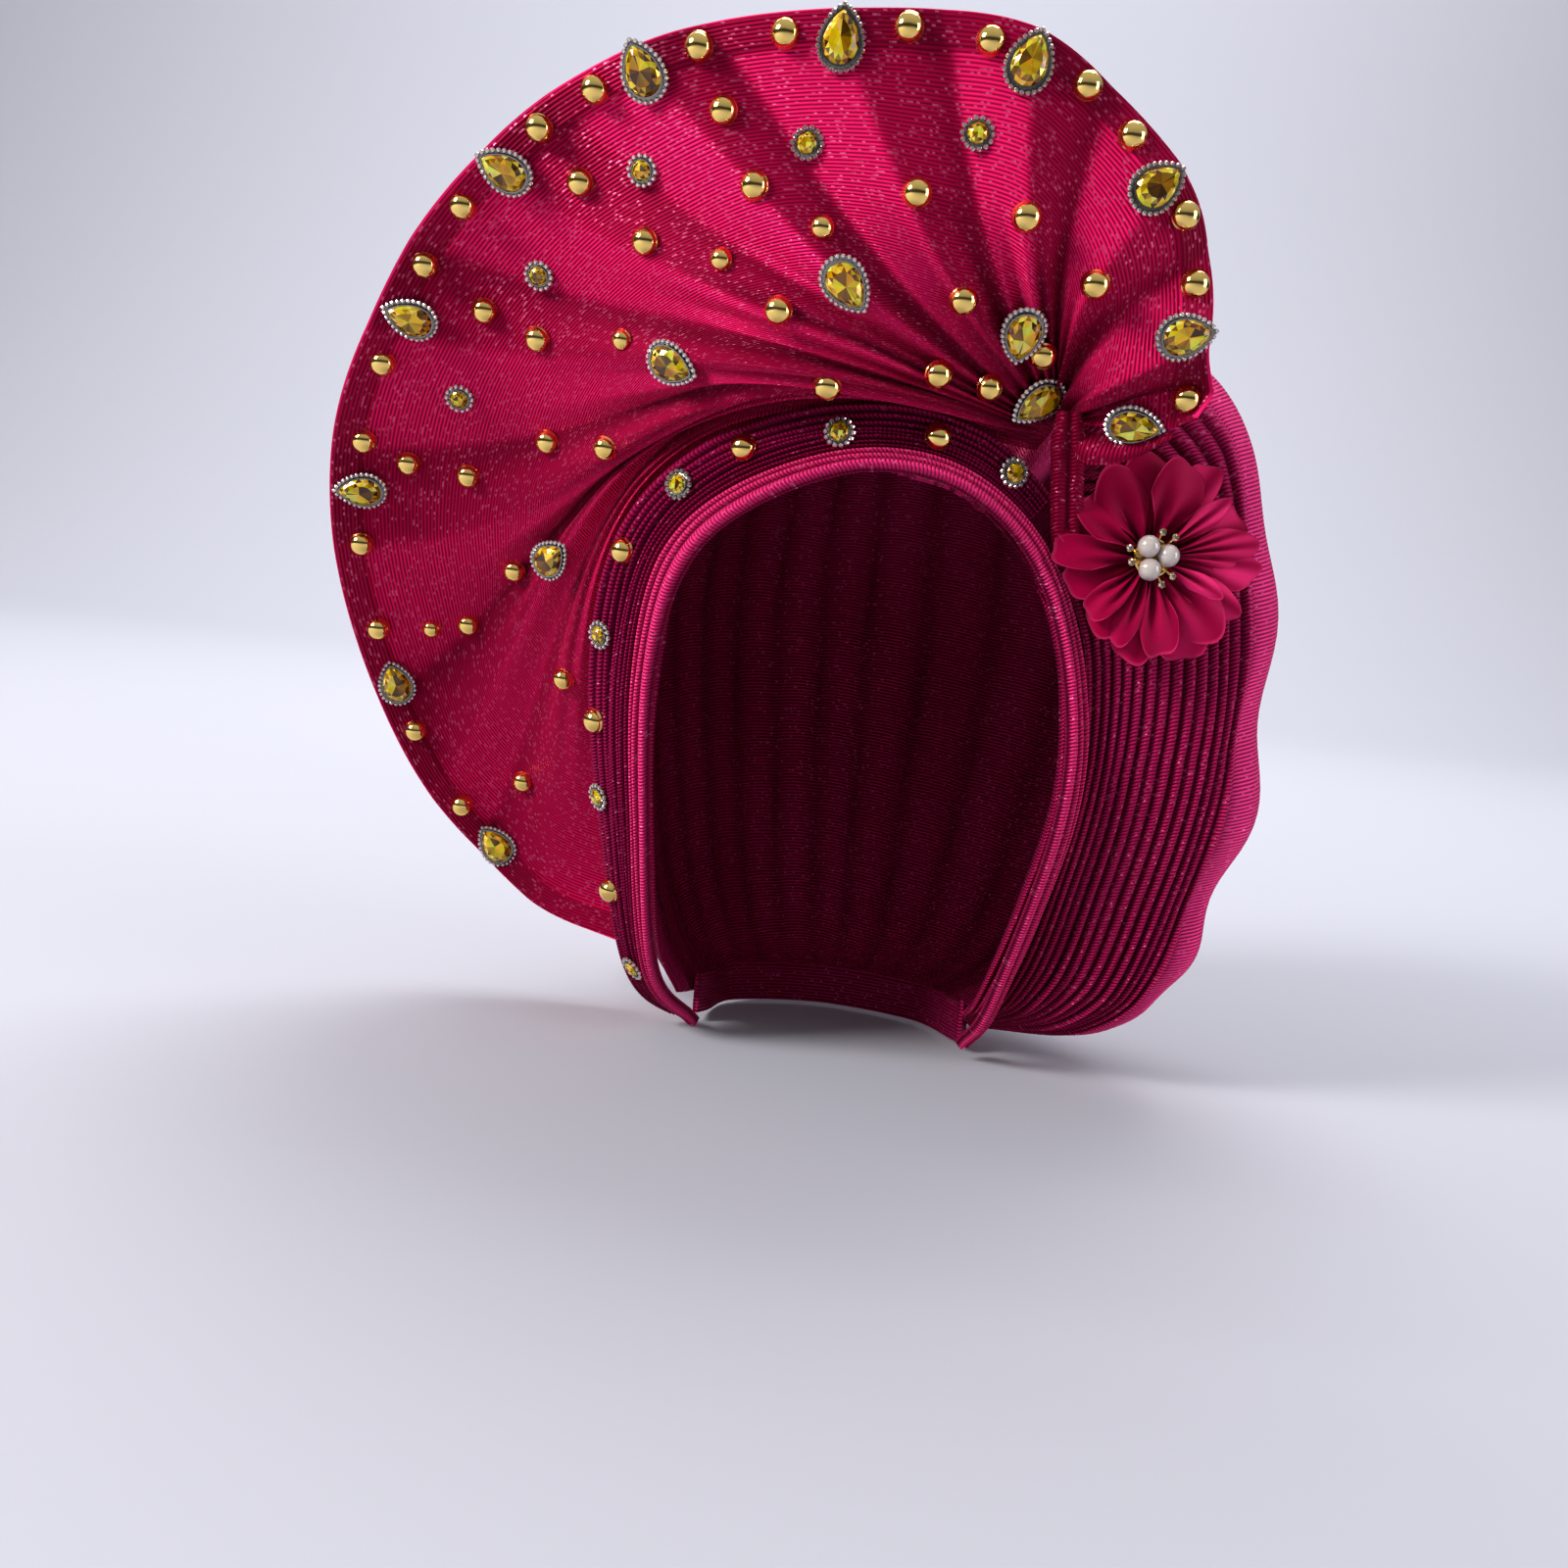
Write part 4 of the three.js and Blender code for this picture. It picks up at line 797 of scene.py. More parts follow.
def laid_patch(name, first, second, lobes, rise, shade):
    places = np.linspace(0, len(first) - 1, 60)
    x = np.linspace(0, 1, 9 * lobes + 1)[None]
    a, b = through(np.array(first) * MM, places), through(np.array(second) * MM, places)
    crown = np.abs(np.sin(np.pi * lobes * x)) ** 0.6
    base = a[:, None] * (1 - x[..., None]) + b[:, None] * x[..., None]
    front = base + FACING * (rise * crown)[..., None]
    run = length_along((a + b)[:, None] / 2, 0)
    uv = np.stack([x * np.linalg.norm(b - a, axis=1)[:, None], run + RIB_BOW * crown], -1)
    # Painted shade: over the whole patch by the share given, and more in the valleys between its folds.
    fold = masked(shade + 0.8 * (1 - crown)) + 0 * run
    return cloth_wall(name, front, front - FACING * PATCH_WALL, uv, fan_cloth, fold, 0 * fold)


tucked_folds = laid_patch("tucked_folds", FOLD_LEFT, FOLD_RIGHT, 2, 2.0 * MM, 0.9)
tucked_flap = laid_patch("tucked_flap", FLAP_TOP, FLAP_LOW, 1, 1.4 * MM, 0.8)

# %% [markdown]
# ## Where the ornaments sit
# Every ornament is glued to the cloth. Its place is given on the surface that carries it: on the fan
# by the spoke and the share of the way out, on the band by the place on the face edge and the share
# of the way across. The normal there is averaged over its footprint, and its foot is lifted to the
# highest cloth under it, less a little that sinks in, so it never floats and never drowns in a fold.

# %% Seats
TEARDROPS = [  # spoke, way out, and the way the drop points, in degrees
    (5.05, 0.96, 115), (4.15, 0.94, 88), (3.13, 0.91, 75), (2.25, 0.85, 40), (1.29, 0.77, 15),
    (0.15, 0.54, 0), (4.05, 0.055, -130), (3.53, 0.19, -90), (5.12, 0.37, -50), (6.7, 0.49, -10),
    (9.1, 0.62, 45), (5.8, 0.96, 150), (6.58, 0.96, 155), (7.5, 0.97, 180), (8.6, 0.97, 110),
    (9.68, 0.97, 130),
]
FAN_ROUND_STONES = [(5.42, 0.81), (4.61, 0.72), (3.49, 0.7), (6.22, 0.81), (6.97, 0.87)]
RIM_STUDS = [
    (4.78, 0.965), (4.39, 0.96), (3.8, 0.96), (3.36, 0.94), (2.78, 0.94), (2.48, 0.92), (2.01, 0.89),
    (1.59, 0.86), (0.5, 0.84), (5.27, 0.97), (5.57, 0.97), (6.05, 0.97), (6.36, 0.97), (6.81, 0.97),
    (7.24, 0.97), (7.79, 0.97), (8.29, 0.97), (8.88, 0.97), (9.38, 0.97),
]
STUD, SMALL_STUD = 8.6 * MM, 7 * MM
FIELD_STUDS = [
    (4.89, 0.84, STUD), (5.65, 0.86, STUD), (5.72, 0.68, STUD), (5.58, 0.55, SMALL_STUD),
    (5.04, 0.66, STUD), (4.89, 0.51, SMALL_STUD), (4.07, 0.54, STUD), (3.15, 0.48, STUD),
    (2.2, 0.44, STUD), (4.16, 0.27, STUD), (5.76, 0.39, STUD), (6.51, 0.61, SMALL_STUD),
    (6.57, 0.77, STUD), (6.48, 0.87, STUD), (7.37, 0.92, STUD), (7.47, 0.84, STUD),
    (7.35, 0.72, STUD), (7.63, 0.58, STUD), (8.5, 0.74, STUD), (8.43, 0.9, SMALL_STUD),
    (8.6, 0.84, STUD), (9.72, 0.86, STUD), (10.03, 0.66, STUD), (6.95, 0.24, STUD),
    (5.63, 0.155, STUD), (5.12, 0.1, STUD), (3.2, 0.15, STUD),
]
BAND_ROUND_STONES = [(5.85, 0.35), (4.53, 0.56), (7.3, 0.56), (3.17, 0.72), (2, 0.78), (0.95, 0.35)]
BAND_STUDS = [(5.15, 0.55), (6.63, 0.42), (3.83, 0.7), (2.55, 0.8), (1.44, 0.8)]
SINK = 0.4 * MM
SAME_LAYER = 14 * MM            # cloth further off than this belongs to another layer


def seat(centre, normal, cloth, radius, angle):
    """An ornament's foot on the cloth's points, its normal and the two directions across it."""
    offset = cloth - centre
    height = offset @ normal
    reach = np.linalg.norm(offset - height[:, None] * normal, axis=1)
    under = height[(reach < radius) & (np.abs(height) < SAME_LAYER)]
    foot = centre + normal * (under.max() - SINK)
    turn = math.radians(angle)
    aim = np.array([math.cos(turn), 0, math.sin(turn)])
    ahead = unit(aim - (aim @ normal) * normal)
    return foot, normal, ahead, np.cross(normal, ahead)


fan_points, band_points = fan_front.reshape(-1, 3), band_front.reshape(-1, 3)


def on_fan(spoke, out, radius, angle=0.0):
    total = FACING * 0.5
    for du, dv in ((0, 0), (0.35, 0), (-0.35, 0), (0, 0.06), (0, -0.06)):
        u = np.array([max(0.05, spoke + du)])
        v = np.array([min(1, max(0.02, out + dv))])
        total = total + normals_of(fan_surface, u, v)[0]
    centre = fan_surface(np.array([spoke]), np.array([out]))[0]
    return seat(centre, unit(total), fan_points, radius, angle)


def on_band(place, share, radius, angle=0.0):
    u = np.array([float(place)])
    out, face = edge_frame(u, BAND_LEAN)
    centre = band_start(u)[0] + out[0] * edge_value(BAND_WIDTH, u)[0] * share + face[0] * BAND_RISE
    return seat(centre, face[0], band_points, radius, angle)


print(len(TEARDROPS), "drops,", len(FAN_ROUND_STONES + BAND_ROUND_STONES), "round stones,",
      len(RIM_STUDS + FIELD_STUDS + BAND_STUDS), "studs")

# %% [markdown]
# ## Gold domes
# The studs are 51 copies of one form, so Geometry Nodes make them: a low dome is laid on every point
# of a cloud, turned so that its axis follows the stored aim and scaled by the stored size. The tree
# ends by making the copies real, because an export can't carry instances.

# %% Metal and crystal materials
WEAR_SCALE, WEAR_SHARE, WEAR_DARKENS, WEAR_DULLS = 900.0, 0.3, 0.7, 0.06


def glint_material(name, colour, metallic, roughness, coat=0.0):
    material, tree, shader = new_material(name)
    wear = noise(tree, object_place(tree), WEAR_SCALE)
    worn = tuple(WEAR_DARKENS * x for x in colour)
    fill(tree, shader, {
        "Base Color": mix_colour(tree, times(tree, wear, WEAR_SHARE), (*colour, 1), (*worn, 1)),
        "Roughness": maths(tree, "MULTIPLY_ADD", wear, WEAR_DULLS, roughness),
        "Metallic": metallic, "Coat Weight": coat})
    return material


gold = glint_material("polished_gold", (0.95, 0.66, 0.19), 1.0, 0.07)
silver = glint_material("silver_setting", (0.28, 0.25, 0.23), 1.0, 0.22)
crystal = glint_material("clear_crystal", (0.68, 0.61, 0.58), 0.85, 0.08, coat=0.4)

# %% Geometry Nodes helpers
GEOMETRY, FORM, PAINT = "NodeSocketGeometry", "NodeSocketObject", "NodeSocketMaterial"


def copies_tree(name, more_inputs=()):
    """A tree that takes a mesh, a form to copy and its material, beside the inputs named."""
    inputs = [("Geometry", GEOMETRY, None), ("Form", FORM, None), ("Material", PAINT, None)]
    return new_tree("GeometryNodeTree", name, inputs + list(more_inputs), [("Geometry", GEOMETRY)])


def lay_copies(tree, inputs, outputs, points, size):
    """A real, painted copy of the form on each point, turned to the point's aim."""
    aim = node(tree, "GeometryNodeInputNamedAttribute", {"Name": "aim"}, data_type="FLOAT_VECTOR")
    turn = node(tree, "FunctionNodeAlignRotationToVector", {"Vector": aim.outputs[0]}, axis="Z")
    form = node(tree, "GeometryNodeObjectInfo", {"Object": inputs["Form"]})
    copies = node(tree, "GeometryNodeInstanceOnPoints", {
        "Points": points, "Instance": form.outputs["Geometry"], "Rotation": turn.outputs[0],
        "Scale": size})
    real = node(tree, "GeometryNodeRealizeInstances", {"Geometry": copies.outputs[0]})
    painted = node(tree, "GeometryNodeSetMaterial", {"Geometry": real.outputs[0],
                                                     "Material": inputs["Material"]})
    tree.links.new(painted.outputs[0], outputs["Geometry"])


def run_tree(name, source, tree, form, material, **values):
    """Runs the tree on a mesh object and keeps the result as a plain mesh object."""
    modifier = source.modifiers.new("nodes", "NODES")
    modifier.node_group = tree
    identifiers = {item.name: item.identifier for item in tree.interface.items_tree
                   if item.in_out == "INPUT"}
    for label, value in {"Form": form, "Material": material, **values}.items():
        modifier[identifiers[label]] = value
    graph = bpy.context.evaluated_depsgraph_get()
    mesh = bpy.data.meshes.new_from_object(source.evaluated_get(graph))
    mesh.name = name
    bpy.data.objects.remove(source)
    bpy.data.objects.remove(form)
    print(name, len(mesh.polygons), "faces")
    return put_in_scene(name, mesh)


# %% The stud tree
stud_tree, s_in, s_out = copies_tree("domes_on_points")
size = node(stud_tree, "GeometryNodeInputNamedAttribute", {"Name": "size"}, data_type="FLOAT")
lay_copies(stud_tree, s_in, s_out, s_in["Geometry"], size.outputs[0])

# %% Turned forms
# A dome of diameter 1: a small flat flange, then most of a half ball
DOME_PROFILE = [(0.47, -0.03), (0.5, -0.01), (0.5, 0.03), (0.47, 0.05)] + [
    (0.47 * math.cos(a), 0.05 + 0.4 * math.sin(a)) for a in np.radians([12, 26, 40, 54, 68, 80])]


def circle(radius, sides):
    turn = np.arange(sides) * 2 * np.pi / sides
    return np.stack([radius * np.cos(turn), radius * np.sin(turn)], -1)


def at_height(outline, height):
    return np.column_stack([outline, np.full(len(outline), height)])


def ring_faces(rings, sides):
    """Faces over rings of points, bottom first, closed by a low and a high centre point."""
    low, high = rings * sides, rings * sides + 1
    steps = [(j, (j + 1) % sides) for j in range(sides)]
    faces = [[i + j, i + k, i + sides + k, i + sides + j]
             for i in range(0, low - sides, sides) for j, k in steps]
    return (faces + [[low, k, j] for j, k in steps]
            + [[high, low - sides + j, low - sides + k] for j, k in steps])


def turned_form(profile, sides):
    """Points and faces of a closed form turned about Z from a profile of radius and height."""
    rings = [at_height(circle(radius, sides), z) for radius, z in profile]
    centres = [[0, 0, profile[0][1]], [0, 0, profile[-1][1]]]
    return np.concatenate(rings + [centres]), ring_faces(len(profile), sides)


def studs(name, seats, sizes):
    cloud = new_piece(name, [s[0] for s in seats], [], marks={"aim": [s[1] for s in seats], "size": sizes})
    dome = new_piece("dome_form", *turned_form(DOME_PROFILE, 24), gold)
    return run_tree(name, cloud, stud_tree, dome, gold)


# %% Place the studs
STUD_FOOT = 0.33                # share of a stud's size that has to rest on cloth
rim_studs = studs("rim_studs", [on_fan(u, v, STUD * STUD_FOOT) for u, v in RIM_STUDS],
                  [STUD] * len(RIM_STUDS))
field_studs = studs("field_studs", [on_fan(u, v, s * STUD_FOOT) for u, v, s in FIELD_STUDS],
                    [s for _, _, s in FIELD_STUDS])
band_studs = studs("band_studs", [on_band(u, x, STUD * STUD_FOOT) for u, x in BAND_STUDS],
                   [STUD] * len(BAND_STUDS))

# %% [markdown]
# ## Cut stones
# A glued stone is a faceted drop or disc with foil behind it, so every facet shows its own yellow,
# amber or olive. Real refraction needs many samples; here each facet keeps one colour from an
# attribute under a clear, sharp coat, which looks the same at this size and survives the export.

# %% Stone material
AMBER_STOPS = [(0.0, (0.05, 0.015, 0.0)), (0.2, (0.2, 0.08, 0.0)), (0.45, (0.5, 0.27, 0.001)),
               (0.65, (0.8, 0.47, 0.002)), (0.85, (0.95, 0.7, 0.006)), (1.0, (1.0, 0.9, 0.15))]
amber, amber_tree, amber_shader = new_material("amber_glass")
# The facet colours are painted reflection: the foil seen through each facet, in place of refraction. The
# sparkle cells paint more of it, darkening and tinting the foil colour cell by cell.
facet = mask(amber_tree, "facet")
foil = colour_ramp(amber_tree, facet, AMBER_STOPS)
sparkle = node(amber_tree, "ShaderNodeTexVoronoi", {"Vector": object_place(amber_tree), "Scale": 520.0})
broken = mix_colour(amber_tree, 1.0, foil, sparkle.outputs["Color"], "MULTIPLY")
fill(amber_tree, amber_shader, {
    "Base Color": mix_colour(amber_tree, 0.35, foil, broken),
    "Roughness": maths(amber_tree, "MULTIPLY_ADD", facet, 0.05, 0.06),
    "Metallic": 0.3, "Coat Weight": 0.35, "Coat Roughness": 0.02})

# %% Faceted stones
TABLE_SHARE = 3                 # triangles of the table that share a tone
BACK_TONE = 0.3


def drop_outline(length, width, sides):
    turn = np.arange(sides) * 2 * np.pi / sides
    return np.stack([length / 2 * np.cos(turn),
                     width / 2 * np.sin(turn) * np.sin(turn / 2) ** 0.55 / 0.865], -1)


def place_points(local, spot):
    foot, normal, ahead, aside = spot
    return foot + local[:, :1] * ahead + local[:, 1:2] * aside + local[:, 2:3] * normal


def cut_stones(name, spots, outline, rings, seed):
    """rings are scale, height and half-step turns; the last one is the table, with a star in it."""
    draw = np.random.default_rng(seed)
    sides, last = len(outline), len(outline) * (len(rings) - 1)
    halfway = (outline + np.roll(outline, -1, 0)) / 2
    layers = [at_height((halfway if half else outline) * scale, height) for scale, height, half in rings]
    local = np.concatenate(layers + [[[0, 0, rings[-1][1]], [0, 0, rings[0][1]]]])
    faces, shades = [], []
    for base in range(0, len(spots) * len(local), len(local)):
        for i in range(len(rings) - 1):
            a, b = base + i * sides, base + (i + 1) * sides
            for j in range(sides):
                k = (j + 1) % sides
                if rings[i + 1][2] > rings[i][2]:
                    faces += [[a + j, a + k, b + j], [a + k, b + k, b + j]]
                else:
                    faces += [[a + j, a + k, b + k], [a + j, b + k, b + j]]
                shades += list(draw.beta(0.9, 0.9, 2))
        top, low = base + last + sides, base + last + sides + 1
        for j in range(sides):
            k = (j + 1) % sides
            faces += [[base + last + j, base + last + k, top], [base + k, base + j, low]]
            if j % TABLE_SHARE == 0:
                tone = draw.beta(0.7, 0.8)
            shades += [tone + draw.uniform(-0.08, 0.08), BACK_TONE]
    points = np.concatenate([place_points(local, spot) for spot in spots])
    return new_piece(name, points, faces, amber, False, marks={"facet": shades}, on="FACE")


# %% Place the stones
DROP_SIZE, ROUND_RADIUS = (14.6 * MM, 10.6 * MM), 3.1 * MM
DROP_FOOT, ROUND_FOOT = 5 * MM, 3.5 * MM        # radius of cloth that each stone rests on
DROP_CUT = [(1, 0.2 * MM, 0), (1, 1.2 * MM, 0), (0.84, 2.6 * MM, 0.5), (0.6, 3.5 * MM, 0)]
ROUND_CUT = [(1, 0.2 * MM, 0), (1, 1.1 * MM, 0), (0.8, 1.9 * MM, 0.5), (0.5, 2.5 * MM, 0)]
drop_spots = [on_fan(u, v, DROP_FOOT, angle) for u, v, angle in TEARDROPS]
round_spots = ([on_fan(u, v, ROUND_FOOT) for u, v in FAN_ROUND_STONES]
               + [on_band(u, x, ROUND_FOOT) for u, x in BAND_ROUND_STONES])
teardrop_stones = cut_stones("teardrop_stones", drop_spots, drop_outline(*DROP_SIZE, 16), DROP_CUT, 3)
round_stones = cut_stones("round_stones", round_spots, circle(ROUND_RADIUS, 12), ROUND_CUT, 5)

# %% [markdown]
# Each stone sits in a thin silver cup with a border of tiny clear stones. The border is what repeats
# along a path: the outline is a closed line of points, resampled to an even count, and a small cut
# crystal stands on each point.

# %% Settings and borders
CUP_FLOOR, BORDER_HEIGHT = 0.1 * MM, 0.5 * MM
CUP_FOOT, CUP_OUTSIDE, CUP_LIP, CUP_INSIDE = 1.2, 1.03, 0.96, 0.9   # shares of the stone's outline
CRYSTAL_PROFILE = [(0.5, 0.0), (0.5, 0.28), (0.28, 0.55)]


def settings(name, spots, outline, height):
    """A thin cup with an outward foot under each stone."""
    section = [(CUP_FOOT, 0.0), (CUP_FOOT, 0.5 * MM), (CUP_OUTSIDE, 0.6 * MM), (CUP_OUTSIDE, height),
               (CUP_LIP, height), (CUP_INSIDE, CUP_FLOOR)]
    local = np.concatenate([at_height(outline * scale, z) for scale, z in section]
                           + [[[0, 0, 0], [0, 0, CUP_FLOOR]]])
    loops = ring_faces(len(section), len(outline))
    faces = [[i + n * len(local) for i in loop] for n in range(len(spots)) for loop in loops]
    return new_piece(name, np.concatenate([place_points(local, s) for s in spots]), faces, silver, False)


border_tree, b_in, b_out = copies_tree(
    "crystals_on_outline", [("Count", "NodeSocketInt", 24), ("Size", FLOAT, 0.0015)])
line = node(border_tree, "GeometryNodeMeshToCurve", {"Mesh": b_in["Geometry"]})
even = node(border_tree, "GeometryNodeResampleCurve", {"Curve": line.outputs[0], "Count": b_in["Count"]})
lay_copies(border_tree, b_in, b_out, even.outputs[0], b_in["Size"])


def border(name, spots, outline, count, size):
    """Crystals along a closed line round each stone, facing as the stone does."""
    sides = len(outline)
    points = np.concatenate([place_points(at_height(outline, BORDER_HEIGHT), spot) for spot in spots])
    edges = [[n * sides + j, n * sides + (j + 1) % sides] for n in range(len(spots)) for j in range(sides)]
    aims = np.repeat([spot[1] for spot in spots], sides, 0)
    loops = new_piece(name, points, [], marks={"aim": aims}, edges=edges)
    form = new_piece("crystal_form", *turned_form(CRYSTAL_PROFILE, 7), crystal, False)
    return run_tree(name, loops, border_tree, form, crystal, Count=count, Size=size)


teardrop_settings = settings("teardrop_settings", drop_spots, drop_outline(*DROP_SIZE, 24), 1.7 * MM)
round_settings = settings("round_settings", round_spots, circle(ROUND_RADIUS, 20), 1.5 * MM)
teardrop_borders = border("teardrop_borders", drop_spots, drop_outline(17 * MM, 12.6 * MM, 48),
                          27, 1.5 * MM)
round_borders = border("round_borders", round_spots, circle(4.2 * MM, 32), 14, 1.65 * MM)

# %% [markdown]
# ## The flower
# The flower is cut from a thin chiffon. Each petal is a rounded tongue of cloth, creased where it is
# gathered at the centre and curled at its edge. Petals differ: every one has its own length, spread,
# height and folds, and the place of its ruffle is drawn from a fixed seed.

# %% Chiffon
chiffon, chiffon_tree, chiffon_shader = new_material("chiffon")
threads = node(chiffon_tree, "ShaderNodeTexWave", {"Vector": cloth_uv(chiffon_tree), "Scale": 420.0},
               wave_type="BANDS", bands_direction="Y").outputs["Fac"]
petal_colour = (0.27, 0.0002, 0.03, 1)
# Mixed in turn: lighter bands of thread, the chiffon's own weave; painted light where the lamp on the right
# shines through; painted shade in the gathers and towards the centre; a painted highlight on the rim.
for share, tint in (
        (times(chiffon_tree, threads, 0.3), (0.38, 0.0004, 0.045, 1)),
        (mask(chiffon_tree, "petal_painted_light"), (1.0, 0.03, 0.19, 1)),
        (times(chiffon_tree, mask(chiffon_tree, "fold"), 0.9), (0.08, 0.0003, 0.014, 1)),
        (times(chiffon_tree, mask(chiffon_tree, "edge"), 0.35), (0.9, 0.05, 0.2, 1))):
    petal_colour = mix_colour(chiffon_tree, share, petal_colour, tint)
chiffon_bump = node(chiffon_tree, "ShaderNodeBump", {
    "Height": times(chiffon_tree, threads, 0.00003), "Distance": 1.0, "Strength": 0.6})
fill(chiffon_tree, chiffon_shader, {
    "Base Color": petal_colour, "Normal": chiffon_bump.outputs[0], "Roughness": 0.6,
    "Sheen Weight": 0.12, "Specular IOR Level": 0.1, **RED_GLOSS})

# %% Petals
FLOWER_CENTRE = np.array([82, -56, -54]) * MM
FLOWER_FACING = unit(np.array([0.15, -1, 0.05]))
flower_along = unit(np.array([1.0, 0, 0]) - FLOWER_FACING[0] * FLOWER_FACING)
flower_across = np.cross(FLOWER_FACING, flower_along)
lower_points = np.array([v.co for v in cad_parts["flower_petals_lower"].data.vertices])
flower_rise = float(((lower_points - FLOWER_CENTRE) @ FLOWER_FACING).min())
flower_spot = (FLOWER_CENTRE + FLOWER_FACING * flower_rise, FLOWER_FACING, flower_along, flower_across)
PETAL_WALL = 0.35 * MM
PETAL_HUB = 2.5 * MM
PETAL_TILT, PETAL_RUFFLE, PETAL_CURL = 1.2 * MM, 1.1 * MM, 1.5 * MM
RIM_FALL, RIM_WAVE = 0.34, 0.025                # shares of a petal's length
# A painted highlight runs along each petal's rim, from this share out.
EDGE_FROM = 0.96                 # where the light rim of a petal begins
# The last column is how much painted light the petal gets, for the lamp on the right.
UPPER_PETALS = [  # way it points, length, half its spread in degrees, foot in mm, folds, glow from 0 to 1
    (124, 31, 25, 1.6, 1.2, 0), (76, 31.5, 24, 2.6, 1.3, 0.1), (42, 29.5, 11, 3.8, 2, 0.8),
    (12, 34, 17, 1.8, 4, 0.5), (-22, 25, 11, 3.6, 1.5, 0.95), (-43, 33, 24, 1.6, 1.6, 0.25),
    (-78, 31, 17, 2.4, 1.5, 0.15), (-107, 29, 15, 1.7, 1.8, 0.1), (-133, 27, 15, 2.5, 2, 0.05),
    (182, 32, 15, 1.7, 1.2, 0), (150, 29, 19, 2.2, 1.4, 0),
]
LOWER_PETALS = [
    (99, 32.5, 26, 0.4, 1.5, 0.05), (60, 35, 16, 0.8, 2, 0.5), (28, 33, 20, 0.3, 2, 0.6),
    (-2, 36, 15, 0.7, 2, 0.9), (-26, 34, 16, 0.3, 2, 0.7), (-60, 34.5, 21, 0.6, 1.5, 0.25),
    (-93, 33, 19, 0.3, 1.6, 0.1), (-120, 29, 20, 0.7, 2, 0), (165, 31, 20, 0.3, 1.5, 0),
    (203, 28, 20, 0.6, 1.5, 0),
]


def petals(name, rows, lift, rise, seed):
    """lift is how far a tip stands up, rise the height of the gathers near the centre."""
    draw = np.random.default_rng(seed)
    s, t = np.meshgrid(np.linspace(0, 1, 26), np.linspace(-1, 1, 41), indexing="ij")
    points, faces, uvs = [], [], []
    marks = {"edge": [], "fold": [], "petal_painted_light": []}
    for angle, length, spread, foot, folds, petal_painted_light in rows:
        size, half, phase = length * MM, math.radians(spread), draw.uniform(0, 2 * np.pi)
        rim = 1 - RIM_FALL * np.abs(t) ** 2.6 + RIM_WAVE * np.sin(6 * t + phase)
        r = PETAL_HUB + (size * rim - PETAL_HUB) * s
        phi = math.radians(angle) + half * t * (0.42 + 0.58 * np.sin(np.pi / 2 * s))
        gather = np.cos(np.pi * folds * t + phase + 1.2 * s)
        stand = 2.6 * s**0.6 * (1 - s) ** 1.5
        height = (foot * MM + lift * s**1.2 * (1 - 0.5 * s) * 2 + PETAL_TILT * t * s
                  + rise * stand * (gather + 0.6) + PETAL_RUFFLE * s**2 * np.sin(3.5 * t + phase)
                  - PETAL_CURL * s**4)
        front = place_points(np.stack([r * np.cos(phi), r * np.sin(phi), height], -1).reshape(-1, 3),
                             flower_spot)
        offset = sum(len(p) for p in points)
        points.append(np.concatenate([front, front - FLOWER_FACING * PETAL_WALL]))
        faces.append(outward(points[-1], grid_faces(*s.shape)) + offset)
        uvs.append(np.concatenate([np.stack([t * half * size, r], -1).reshape(-1, 2)] * 2))
        # Painted shade in the gathers and towards the centre, a painted highlight on the rim, and painted
        # light by the petal's share.
        deep = masked(0.55 * (0.2 - gather) * stand + 0.9 * (1 - s) ** 2.5)
        out_share = np.maximum(s, np.abs(t) * masked(s * 3 - 1))
        at_rim = masked((out_share - EDGE_FROM) / (1 - EDGE_FROM))
        light = petal_painted_light * masked(s * 1.6 - 0.2) * masked(0.6 + 0.5 * gather)
        for label, mark in (("edge", at_rim), ("fold", deep), ("petal_painted_light", light)):
            marks[label].append(np.concatenate([mark.ravel()] * 2))
    return new_piece(name, np.concatenate(points), np.concatenate(faces).tolist(), chiffon, True,
                     np.concatenate(uvs), {label: np.concatenate(parts) for label, parts in marks.items()})


petals_lower = petals("chiffon_petals_lower", LOWER_PETALS, 4 * MM, 1.0 * MM, 11)
petals_upper = petals("chiffon_petals_upper", UPPER_PETALS, 5 * MM, 2.2 * MM, 12)
print("petal cloth", [round(sheet_area(row), 4) for row in (petals_lower, petals_upper)], "m2")

# %% [markdown]
# ## The brooch
# Three pearls stand in a ring on a small gilt plate, and six tiny stones reach out between them on
# gold wires, each in a four-pronged cup.

# %% Pearl
pearl, pearl_tree, pearl_shader = new_material("pearl")
# The colour darkens towards the rim as the camera sees it, a painted shade that leaves the middle as a soft
# painted highlight.
glancing = node(pearl_tree, "ShaderNodeLayerWeight", {"Blend": 0.45}).outputs["Facing"]
nacre = noise(pearl_tree, object_place(pearl_tree), 260.0)
milky = mix_colour(pearl_tree, times(pearl_tree, nacre, 0.4), (0.5, 0.44, 0.4, 1), (0.64, 0.57, 0.51, 1))
fill(pearl_tree, pearl_shader, {
    "Base Color": mix_colour(pearl_tree, glancing, milky, (0.3, 0.17, 0.17, 1)),
    "Roughness": maths(pearl_tree, "MULTIPLY_ADD", nacre, 0.1, 0.16),
    "Coat Weight": 1.0, "Coat Roughness": 0.16, "Sheen Weight": 0.3})

